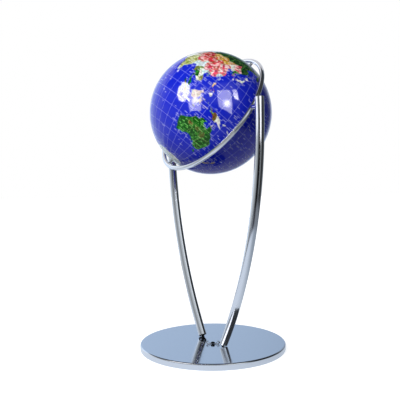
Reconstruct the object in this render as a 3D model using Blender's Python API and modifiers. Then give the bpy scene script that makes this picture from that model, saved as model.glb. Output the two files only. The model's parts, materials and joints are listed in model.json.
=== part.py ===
"""Floor globe on a chrome stand: a turning globe in a tilting ring held by two curved legs.

Metres, +Z up. The origin is the centre of the base's underside, and the legs stand in the
plane of X and Z, one at each side.
"""

from math import asin, cos, pi, radians, sin

import bmesh
import bpy
from mathutils import Euler, Matrix, Quaternion, Vector

COLLECTION_NAME = "floor_globe"
CUTTER_COLLECTION_NAME = "floor_globe_cutters"

GAP = 0.0003
CUTTER_ROLL = radians(5)

# The globe and where its centre is
GLOBE_RADIUS = 0.165
GLOBE_HEIGHT = 0.645

# The base disc
BASE_RADIUS = 0.200
BASE_THICKNESS = 0.018
BASE_EDGE = 0.0025
BASE_SIDES = 84

# The legs: one arc of a large circle each, widest at ARC_HEIGHT
LEG_RADIUS = 0.0115
LEG_SPREAD = 0.2143
LEG_ARC_RADIUS = 1.132
LEG_ARC_HEIGHT = 0.6086
LEG_TOP = 0.6695
LEG_SEGMENTS = 24
LEG_MOUTH_RADIUS = 0.0095
LEG_MOUTH_DEPTH = 0.016
BOLT_RADIUS = 0.004
BOLT_SEAT_DEPTH = 0.008

# The ring around the globe: its plane holds the X axis and leans back from upright
RING_RADIUS = 0.181
RING_TUBE = 0.006
RING_LEAN = radians(35.5)

# The globe's axis lies in the ring's plane, at this angle from the ring's pivots
POLE_ANGLE = radians(70.0)

# Pins
POLE_PIN_RADIUS = 0.0035
POLE_PIN_IN_GLOBE = 0.010
PIVOT_COLLAR_RADIUS = 0.0065
PIVOT_SPIGOT_RADIUS = 0.003
PIVOT_SEAT_DEPTH = 0.004
PIN_IN_RING = 0.007

# The round-headed screw and the wire link low on the base
SCREW_PLACE = Vector((0.0226, -0.0152))
SCREW_HEAD_RADIUS = 0.0060
SCREW_HEAD_HEIGHT = 0.0035
SCREW_SHANK_RADIUS = 0.0022
SCREW_SEAT_DEPTH = 0.006
LINK_HEADING = radians(56.0)
LINK_WIRE_RADIUS = 0.0012
LINK_REACH = 0.0135
LINK_EYE_RADIUS = 0.0036
LINK_EYE_LEAN = radians(50.0)

CHROME = ("chrome", (0.72, 0.75, 0.80), 0.06, 1.0)
DARK_STEEL = ("dark_steel", (0.02, 0.02, 0.025), 0.35, 1.0)
BLUE_STONE = ("blue_stone", (0.010, 0.012, 0.60), 0.08, 0.0)


def clear_scene():
    """Remove every object, so that the file holds only this part."""
    for item in list(bpy.data.objects):
        bpy.data.objects.remove(item, do_unlink=True)


def new_collection(name):
    collection = bpy.data.collections.new(name)
    bpy.context.scene.collection.children.link(collection)
    return collection


def make_material(node_name, finish):
    """One Principled material for one sub-part."""
    kind, colour, roughness, metallic = finish
    material = bpy.data.materials.new(f"{node_name}_{kind}")
    material.use_nodes = True
    shader = material.node_tree.nodes["Principled BSDF"]
    shader.inputs["Base Color"].default_value = (*colour, 1.0)
    shader.inputs["Roughness"].default_value = roughness
    shader.inputs["Metallic"].default_value = metallic
    material.diffuse_color = (*colour, 1.0)
    return material


def move_to(item, collection):
    """Put an object in one collection only."""
    for old in list(item.users_collection):
        old.objects.unlink(item)
    collection.objects.link(item)


def smooth(mesh, degrees=35):
    mesh.shade_smooth()
    mesh.set_sharp_from_angle(angle=radians(degrees))


def finish_part(item, name, finish, collection, parent=None):
    """Name a sub-part, give it its material and parent, and shade it smooth."""
    item.name = name
    item.data.name = name
    item.data.materials.clear()
    item.data.materials.append(make_material(name, finish))
    move_to(item, collection)
    item.parent = parent
    if item.type == "MESH":
        smooth(item.data)
    return item


def make_axis(name, collection, location, rotation, parent=None):
    """An empty that stands on a joint's axis."""
    axis = bpy.data.objects.new(name, None)
    axis.empty_display_type = "ARROWS"
    axis.empty_display_size = 0.05
    axis.location = location
    axis.rotation_euler = rotation
    axis.parent = parent
    collection.objects.link(axis)
    return axis


def turned(profile, steps):
    """A turned piece from a half profile in X and Z, listed from its top to its bottom."""
    mesh = bpy.data.meshes.new("turned")
    edges = [(index, index + 1) for index in range(len(profile) - 1)]
    mesh.from_pydata([(x, 0.0, z) for x, z in profile], edges, [])
    item = bpy.data.objects.new("turned", mesh)
    bpy.context.scene.collection.objects.link(item)
    screw = item.modifiers.new("turn", "SCREW")
    screw.axis = "Z"
    screw.angle = 2 * pi
    screw.steps = steps
    screw.render_steps = steps
    screw.use_merge_vertices = True
    screw.merge_threshold = 0.00005
    screw.use_smooth_shade = True
    return item


def cutter_cylinder(name, collection, radius, start, direction, length, parent=None, sides=24):
    """A round cutter that starts at a point and runs along a direction.

    It is rolled a little, so that none of its edges meets an edge of the piece that it cuts.
    """
    bpy.ops.mesh.primitive_cylinder_add(vertices=sides, radius=radius, depth=length)
    item = bpy.context.object
    item.name = name
    heading = Vector(direction).normalized()
    roll = Quaternion((0.0, 0.0, 1.0), CUTTER_ROLL)
    item.rotation_euler = (heading.to_track_quat("Z", "X") @ roll).to_euler()
    item.location = Vector(start) + heading * (length / 2)
    item.parent = parent
    item.hide_render = True
    item.display_type = "WIRE"
    move_to(item, collection)
    return item


def cut(item, cutter):
    """Take a cutter out of a sub-part."""
    boolean = item.modifiers.new(cutter.name, "BOOLEAN")
    boolean.operation = "DIFFERENCE"
    boolean.solver = "EXACT"
    boolean.object = cutter


def wire_curve(name, points, radius, resolution):
    """A round wire or tube through a list of points, with closed ends."""
    curve = bpy.data.curves.new(name, "CURVE")
    curve.dimensions = "3D"
    curve.bevel_depth = radius
    curve.bevel_resolution = resolution
    curve.use_fill_caps = True
    spline = curve.splines.new("POLY")
    spline.points.add(len(points) - 1)
    for point, place in zip(spline.points, points):
        point.co = (*place, 1.0)
    item = bpy.data.objects.new(name, curve)
    bpy.context.scene.collection.objects.link(item)
    return item


def curve_to_mesh(item):
    """Make a curve object into a mesh object whose end caps are welded on."""
    bpy.context.view_layer.update()
    depsgraph = bpy.context.evaluated_depsgraph_get()
    mesh = bpy.data.meshes.new_from_object(item.evaluated_get(depsgraph))
    body = bmesh.new()
    body.from_mesh(mesh)
    bmesh.ops.remove_doubles(body, verts=body.verts, dist=0.00002)
    bmesh.ops.recalc_face_normals(body, faces=body.faces)
    body.to_mesh(mesh)
    body.free()
    solid = bpy.data.objects.new(item.name, mesh)
    solid.matrix_world = item.matrix_world
    bpy.context.scene.collection.objects.link(solid)
    bpy.data.objects.remove(item, do_unlink=True)
    return solid


def leg_point(lean):
    """The leg's centre line, as distance from the middle and height, where it has this lean."""
    reach = LEG_SPREAD - LEG_ARC_RADIUS + LEG_ARC_RADIUS * cos(lean)
    height = LEG_ARC_HEIGHT - LEG_ARC_RADIUS * sin(lean)
    return reach, height


def leg_foot_lean():
    """The lean at the foot, where the square-cut end's outer edge stands on the base."""
    slope = LEG_RADIUS / LEG_ARC_RADIUS
    floor = BASE_THICKNESS + GAP
    height = (floor + slope * LEG_ARC_HEIGHT) / (1.0 + slope)
    return asin((LEG_ARC_HEIGHT - height) / LEG_ARC_RADIUS)


def leg_foot(side):
    """The centre of a leg's cut end and the direction in which the leg rises from it."""
    lean = leg_foot_lean()
    reach, height = leg_point(lean)
    place = Vector((side * reach, 0.0, height))
    rise = Vector((side * sin(lean), 0.0, cos(lean)))
    return place, rise


def leg_inner_face():
    """How far the leg's inner side is from the middle at the height of the pivots."""
    lean = asin((LEG_ARC_HEIGHT - GLOBE_HEIGHT) / LEG_ARC_RADIUS)
    return leg_point(lean)[0] - LEG_RADIUS


def make_base(parts, cutters):
    bpy.ops.mesh.primitive_cylinder_add(
        vertices=BASE_SIDES, radius=BASE_RADIUS, depth=BASE_THICKNESS,
        location=(0.0, 0.0, BASE_THICKNESS / 2))
    base = bpy.context.object
    edge = base.modifiers.new("edge", "BEVEL")
    edge.width = BASE_EDGE
    edge.segments = 2
    edge.limit_method = "ANGLE"
    edge.angle_limit = radians(60)
    for side, word in ((1, "right"), (-1, "left")):
        place, rise = leg_foot(side)
        start = place - rise * (place.z - BASE_THICKNESS + BOLT_SEAT_DEPTH) / rise.z
        length = 0.030
        seat = cutter_cylinder(
            f"{word}_bolt_seat_cutter", cutters, BOLT_RADIUS + GAP, start, rise, length)
        cut(base, seat)
    start = (SCREW_PLACE.x, SCREW_PLACE.y, BASE_THICKNESS - SCREW_SEAT_DEPTH)
    seat = cutter_cylinder(
        "screw_seat_cutter", cutters, SCREW_SHANK_RADIUS + GAP, start, (0, 0, 1), 0.020)
    cut(base, seat)
    return finish_part(base, "base_disc", CHROME, parts)


def make_leg(parts, cutters, side, word):
    """A curved tube with an open mouth at its foot and a seat for the ring's pivot."""
    foot_lean = leg_foot_lean()
    top_lean = asin((LEG_ARC_HEIGHT - LEG_TOP) / LEG_ARC_RADIUS)
    points = []
    for index in range(LEG_SEGMENTS + 1):
        lean = foot_lean + (top_lean - foot_lean) * index / LEG_SEGMENTS
        reach, height = leg_point(lean)
        points.append((side * reach, 0.0, height))
    leg = curve_to_mesh(wire_curve(f"{word}_leg", points, LEG_RADIUS, 6))
    place, rise = leg_foot(side)
    mouth = cutter_cylinder(
        f"{word}_leg_mouth_cutter", cutters, LEG_MOUTH_RADIUS,
        place + rise * LEG_MOUTH_DEPTH, -rise, LEG_MOUTH_DEPTH * 2)
    cut(leg, mouth)
    start = (side * (leg_inner_face() + PIVOT_SEAT_DEPTH), 0.0, GLOBE_HEIGHT)
    seat = cutter_cylinder(
        f"{word}_pivot_seat_cutter", cutters, PIVOT_COLLAR_RADIUS + GAP,
        start, (-side, 0, 0), 0.020)
    cut(leg, seat)
    return finish_part(leg, f"{word}_leg", CHROME, parts)


def make_leg_bolt(parts, side, word):
    """The bolt between the base and the leg, seen in the leg's open mouth."""
    place, rise = leg_foot(side)
    below = (place.z - BASE_THICKNESS + BOLT_SEAT_DEPTH) / rise.z - GAP
    above = LEG_MOUTH_DEPTH - GAP
    bpy.ops.mesh.primitive_cylinder_add(vertices=16, radius=BOLT_RADIUS, depth=below + above)
    bolt = bpy.context.object
    bolt.rotation_euler = rise.to_track_quat("Z", "X").to_euler()
    bolt.location = place + rise * (above - below) / 2
    return finish_part(bolt, f"{word}_leg_bolt", DARK_STEEL, parts)


def make_base_screw(parts):
    """A round-headed screw; its domed head stands clear of the wire that it holds."""
    under = 2 * LINK_WIRE_RADIUS + 3 * GAP
    profile = []
    dome_steps = 4
    for index in range(dome_steps + 1):
        turn = (pi / 2) * index / dome_steps
        profile.append((SCREW_HEAD_RADIUS * sin(turn), under + SCREW_HEAD_HEIGHT * cos(turn)))
    profile[0] = (0.0, under + SCREW_HEAD_HEIGHT)
    profile.append((SCREW_HEAD_RADIUS, under + GAP))
    profile.append((SCREW_HEAD_RADIUS - 2 * GAP, under))
    profile.append((SCREW_SHANK_RADIUS, under))
    profile.append((SCREW_SHANK_RADIUS, -SCREW_SEAT_DEPTH + GAP))
    profile.append((0.0, -SCREW_SEAT_DEPTH + GAP))
    screw = turned(profile, 16)
    screw.location = (SCREW_PLACE.x, SCREW_PLACE.y, BASE_THICKNESS)
    return finish_part(screw, "base_screw", DARK_STEEL, parts)


def link_half():
    """Half of the link's route from behind the screw out to its raised, open eye."""
    clear = SCREW_SHANK_RADIUS + LINK_WIRE_RADIUS + GAP
    points = []
    for index in range(4):
        turn = radians(90 - 25 * index)
        points.append(Vector((clear * cos(turn), clear * sin(turn), 0.0)))
    points.append(Vector((LINK_REACH - LINK_EYE_RADIUS - 0.002, 0.0, 0.0)))
    eye_centre = Vector((LINK_REACH, 0.0, 0.0))
    lift = Vector((0.0, cos(LINK_EYE_LEAN), sin(LINK_EYE_LEAN)))
    eye_steps = 9
    for index in range(eye_steps):
        turn = radians(200 + 34 * index)
        points.append(
            eye_centre
            + Vector((LINK_EYE_RADIUS * cos(turn), 0.0, 0.0))
            + lift * (LINK_EYE_RADIUS * (1 + sin(turn))))
    return points


def make_link(parts):
    """The bent wire held under the screw's head, with an eye at each end."""
    half = link_half()
    other = [Vector((-point.x, point.y, point.z)) for point in half[1:]]
    link = wire_curve("foot_link", list(reversed(other)) + half, LINK_WIRE_RADIUS, 2)
    link.location = (SCREW_PLACE.x, SCREW_PLACE.y, BASE_THICKNESS + LINK_WIRE_RADIUS + GAP)
    link.rotation_euler = (0.0, 0.0, LINK_HEADING)
    return finish_part(link, "foot_link", CHROME, parts)


def make_pivot_pin(parts, side, word):
    """A turned pin: a spigot in the ring, then a collar that ends in the leg's seat."""
    inner = RING_RADIUS + RING_TUBE - PIN_IN_RING
    shoulder = RING_RADIUS + RING_TUBE + GAP
    outer = leg_inner_face() + PIVOT_SEAT_DEPTH - GAP
    profile = [
        (0.0, outer),
        (PIVOT_COLLAR_RADIUS, outer),
        (PIVOT_COLLAR_RADIUS, shoulder),
        (PIVOT_SPIGOT_RADIUS, shoulder),
        (PIVOT_SPIGOT_RADIUS, inner),
        (0.0, inner),
    ]
    pin = turned(profile, 20)
    pin.location = (0.0, 0.0, GLOBE_HEIGHT)
    pin.rotation_euler = (0.0, side * pi / 2, 0.0)
    return finish_part(pin, f"{word}_pivot_pin", CHROME, parts)


def make_ring(parts, cutters, ring_axis):
    """The round ring, with holes for the pivots outside and for the pole pins inside."""
    bpy.ops.mesh.primitive_torus_add(
        major_segments=88, minor_segments=12,
        major_radius=RING_RADIUS, minor_radius=RING_TUBE)
    ring = bpy.context.object
    outside = RING_RADIUS + RING_TUBE
    inside = RING_RADIUS - RING_TUBE
    pole = Vector((cos(POLE_ANGLE), sin(POLE_ANGLE), 0.0))
    for sign, word in ((1, "right"), (-1, "left")):
        heading = Vector((-sign, 0.0, 0.0))
        start = -heading * (outside + 0.004)
        length = PIN_IN_RING + GAP + 0.004
        hole = cutter_cylinder(
            f"{word}_pivot_hole_cutter", cutters, PIVOT_SPIGOT_RADIUS + GAP,
            start, heading, length, ring_axis, 16)
        cut(ring, hole)
    for sign, word in ((1, "north"), (-1, "south")):
        start = pole * sign * (inside - 0.004)
        length = PIN_IN_RING + GAP + 0.004
        hole = cutter_cylinder(
            f"{word}_pole_hole_cutter", cutters, POLE_PIN_RADIUS + GAP,
            start, pole * sign, length, ring_axis, 16)
        cut(ring, hole)
    return finish_part(ring, "gimbal_ring", CHROME, parts, ring_axis)


def make_pole_pin(parts, pole_axis, sign, word):
    inner = GLOBE_RADIUS - POLE_PIN_IN_GLOBE
    outer = RING_RADIUS - RING_TUBE + PIN_IN_RING
    bpy.ops.mesh.primitive_cylinder_add(
        vertices=16, radius=POLE_PIN_RADIUS, depth=outer - inner)
    pin = bpy.context.object
    pin.location = (0.0, 0.0, sign * (outer + inner) / 2)
    return finish_part(pin, f"{word}_pole_pin", CHROME, parts, pole_axis)


def make_globe(parts, pole_axis):
    """The ball, turned about its own axis, with a blind bore at each pole."""
    bore = POLE_PIN_RADIUS + GAP
    floor = GLOBE_RADIUS - POLE_PIN_IN_GLOBE - GAP
    first = asin(bore / GLOBE_RADIUS)
    arc_steps = 26
    profile = [(0.0, floor), (bore, floor)]
    for index in range(arc_steps + 1):
        turn = first + (pi - 2 * first) * index / arc_steps
        profile.append((GLOBE_RADIUS * sin(turn), GLOBE_RADIUS * cos(turn)))
    profile.append((bore, -floor))
    profile.append((0.0, -floor))
    globe = turned(profile, 52)
    return finish_part(globe, "globe", BLUE_STONE, parts, pole_axis)


def main():
    clear_scene()
    parts = new_collection(COLLECTION_NAME)
    cutters = new_collection(CUTTER_COLLECTION_NAME)

    make_base(parts, cutters)
    make_base_screw(parts)
    make_link(parts)
    for side, word in ((1, "right"), (-1, "left")):
        make_leg(parts, cutters, side, word)
        make_leg_bolt(parts, side, word)
        make_pivot_pin(parts, side, word)

    ring_axis = make_axis(
        "ring_axis", parts, (0.0, 0.0, GLOBE_HEIGHT), Euler((pi / 2 - RING_LEAN, 0.0, 0.0)))
    toward_pole = Vector((cos(POLE_ANGLE), sin(POLE_ANGLE), 0.0))
    pole_turn = Matrix.Rotation(POLE_ANGLE, 3, "Z") @ Matrix.Rotation(pi / 2, 3, "Y")
    assert (pole_turn @ Vector((0.0, 0.0, 1.0)) - toward_pole).length < 1e-6
    pole_axis = make_axis("pole_axis", parts, (0.0, 0.0, 0.0), pole_turn.to_euler(), ring_axis)
    make_ring(parts, cutters, ring_axis)
    for sign, word in ((1, "north"), (-1, "south")):
        make_pole_pin(parts, pole_axis, sign, word)
    make_globe(parts, pole_axis)
    bpy.context.view_layer.update()


main()
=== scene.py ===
"""The looks of a floor globe on a chrome stand, laid out as an add-on.

Sizes are in metres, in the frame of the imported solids: +Z up, the origin under the middle of
the base, and the two legs in the plane of X and Z. A piece rides on the body that carries it,
and stands for the plain solid that it replaces.
"""

import json
from math import asin, cos, pi, radians, sin

import bpy
import numpy as np
from bpy.props import FloatProperty, FloatVectorProperty, PointerProperty
from mathutils import Matrix, Vector


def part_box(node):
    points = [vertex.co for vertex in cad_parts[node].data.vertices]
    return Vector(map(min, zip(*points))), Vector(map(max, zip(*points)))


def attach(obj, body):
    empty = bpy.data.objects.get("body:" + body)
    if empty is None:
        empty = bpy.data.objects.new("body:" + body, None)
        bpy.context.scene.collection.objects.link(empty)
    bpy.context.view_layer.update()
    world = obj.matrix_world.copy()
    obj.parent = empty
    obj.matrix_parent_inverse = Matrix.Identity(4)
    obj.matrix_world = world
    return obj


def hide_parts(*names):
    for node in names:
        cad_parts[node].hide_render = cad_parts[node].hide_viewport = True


bl_info = {
    "name": "Floor globe",
    "version": (1, 0, 0),
    "blender": (4, 5, 0),
    "location": "View3D > Sidebar > Floor globe",
    "description": "Builds a stone-inlaid floor globe on its chrome stand",
    "category": "Add Mesh",
}

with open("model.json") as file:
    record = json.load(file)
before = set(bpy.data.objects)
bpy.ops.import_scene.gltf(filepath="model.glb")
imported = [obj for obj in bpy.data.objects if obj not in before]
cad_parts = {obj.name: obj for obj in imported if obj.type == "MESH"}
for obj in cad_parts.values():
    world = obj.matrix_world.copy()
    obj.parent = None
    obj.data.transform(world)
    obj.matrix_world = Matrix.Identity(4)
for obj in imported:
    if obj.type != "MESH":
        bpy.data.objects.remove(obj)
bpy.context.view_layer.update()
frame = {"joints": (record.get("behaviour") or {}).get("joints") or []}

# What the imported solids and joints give
BASE_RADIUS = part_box("base_disc")[1].x
BASE_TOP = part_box("base_disc")[1].z
JOINTS = {joint["name"]: joint for joint in frame["joints"]}
BALL_CENTRE = Vector(JOINTS["globe_spin"]["pos_m"])
BALL_AXIS = Vector(JOINTS["globe_spin"]["axis"]).normalized()
RING_RADIUS_OUT = (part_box("gimbal_ring")[1].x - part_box("gimbal_ring")[0].x) / 2

# The room that the gap rules leave between pieces
GAP = 0.0003

# The base disc
BASE_EDGE = 0.0040
BASE_FLAT = 0.0003
BASE_STEPS = 288

# The legs, each one arc of a large circle, widest at LEG_ARC_HEIGHT
LEG_RADIUS = 0.0115
LEG_SPREAD = 0.2143
LEG_ARC_RADIUS = 1.132
LEG_ARC_HEIGHT = 0.6086
LEG_TOP = 0.6695
LEG_TOP_EDGE = 0.0008
LEG_MOUTH_RADIUS = 0.0095
LEG_MOUTH_DEPTH = 0.016
LEG_MOUTH_CORNER = 0.0005
LEG_LIP = 0.0004
LEG_SHAFT_FROM = 0.002
LEG_SIDES = 64
LEG_STATIONS = 90

# The bolt in each leg's mouth; a thread's heights are shares of its pitch
BOLT_RADIUS = 0.004
BOLT_SEAT_DEPTH = 0.008
BOLT_THREAD_PITCH = 0.00125
BOLT_THREAD_DEPTH = 0.0006
BOLT_THREAD = (0.20, 0.55, 0.65)

# The ring, whose plane holds the X axis and leans back from upright
RING_TUBE = 0.006
RING_RADIUS = RING_RADIUS_OUT - RING_TUBE
RING_LEAN = radians(35.5)
RING_PLACE = Matrix.Translation(BALL_CENTRE) @ Matrix.Rotation(pi / 2 - RING_LEAN, 4, "X")
RING_STEPS = 320
RING_SIDES = 48

# Pins; the flat strip beside a rounded edge starts at PAST_EDGE of the edge's radius
POLE_PIN_RADIUS = 0.0035
POLE_PIN_IN_BALL = 0.010
PIN_IN_RING = 0.007
PIVOT_COLLAR_RADIUS = 0.0065
PIVOT_SPIGOT_RADIUS = 0.003
PIVOT_SEAT_DEPTH = 0.004
PIN_EDGE = 0.0005
PAST_EDGE = 1.3

# The round-headed screw and the wire link held under it
SCREW_PLACE = Vector((0.0226, -0.0152, BASE_TOP))
SCREW_HEAD_RADIUS = 0.0060
SCREW_HEAD_HEIGHT = 0.0035
SCREW_SHANK_RADIUS = 0.0022
SCREW_SEAT_DEPTH = 0.006
LINK_HEADING = radians(56.0)
LINK_WIRE_RADIUS = 0.0012
LINK_REACH = 0.0135
LINK_NECK = 0.002
LINK_EYE_RADIUS = 0.0036
LINK_EYE_LEAN = radians(50.0)

# The ball
BALL_RADIUS = 0.165
ZERO_MERIDIAN_TURN = 0.819
BORE_RADIUS = POLE_PIN_RADIUS + GAP
BORE_DEPTH = POLE_PIN_IN_BALL + GAP
GRID_STEP = 10
SECTORS = 360 // GRID_STEP
SECTOR_CELLS = 11
FINE_ROWS = 12
COARSE_ROWS = 4
FINE_FROM, FINE_TO = -50, 70
WIDEST_LINE = 1.4
COAST_WAVES = (55.0, 0.0045, 17)
BORDER_WAVES = (38.0, 0.018, 18)
CUT_LIMITS = (0.12, 0.88)
MARK_SINK = 0.00010
MARK_RISE = 0.00005
SHORTEST_WIRE = 0.00001
RESIN_IOR = 1.45

# The rows of strokes; widths are for other lands, the sea and green lands
STROKE_SEED = 19
STROKE_PITCH = 0.62
STROKE_TILTS = [0.0, 0.0, 0.45, -0.45, 1.3]
STROKE_WIDTHS = (1.3, 1.0, 2.6)
SEA_STROKES = (0.0018, 0.0026)
LAND_STROKES = (0.0026, 0.0040)
DASH = 0.009
DASH_GAP = 0.0012
STROKES_IN_ROW = (3, 10)
ROW_START = (0, 4)
ROW_ROOM = (1.0, 3.0)
ROW_STEP = 1.5
NAME_LIMIT = 74.0
LINE_CLEARANCE = 0.8
COAST_REACH = 0.075
LAND_NAMES = 0.70
COAST_NAMES = 0.60
SEA_NAMES = 0.035
ISLAND_SEA = (152.0, 240.0)
ISLAND_NAMES = 0.22

# The side of the object that the camera stands on, as a turn about Z from -Y towards +X
FRONT = radians(56.29)
CAMERA_PLACE = Vector((1.4055, -0.9379, 0.4985))
CAMERA_AIM = Vector((-0.0175, -0.0262, 0.4099))
CAMERA_ROLL = -0.0104
CAMERA_LENS = 55.68

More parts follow.
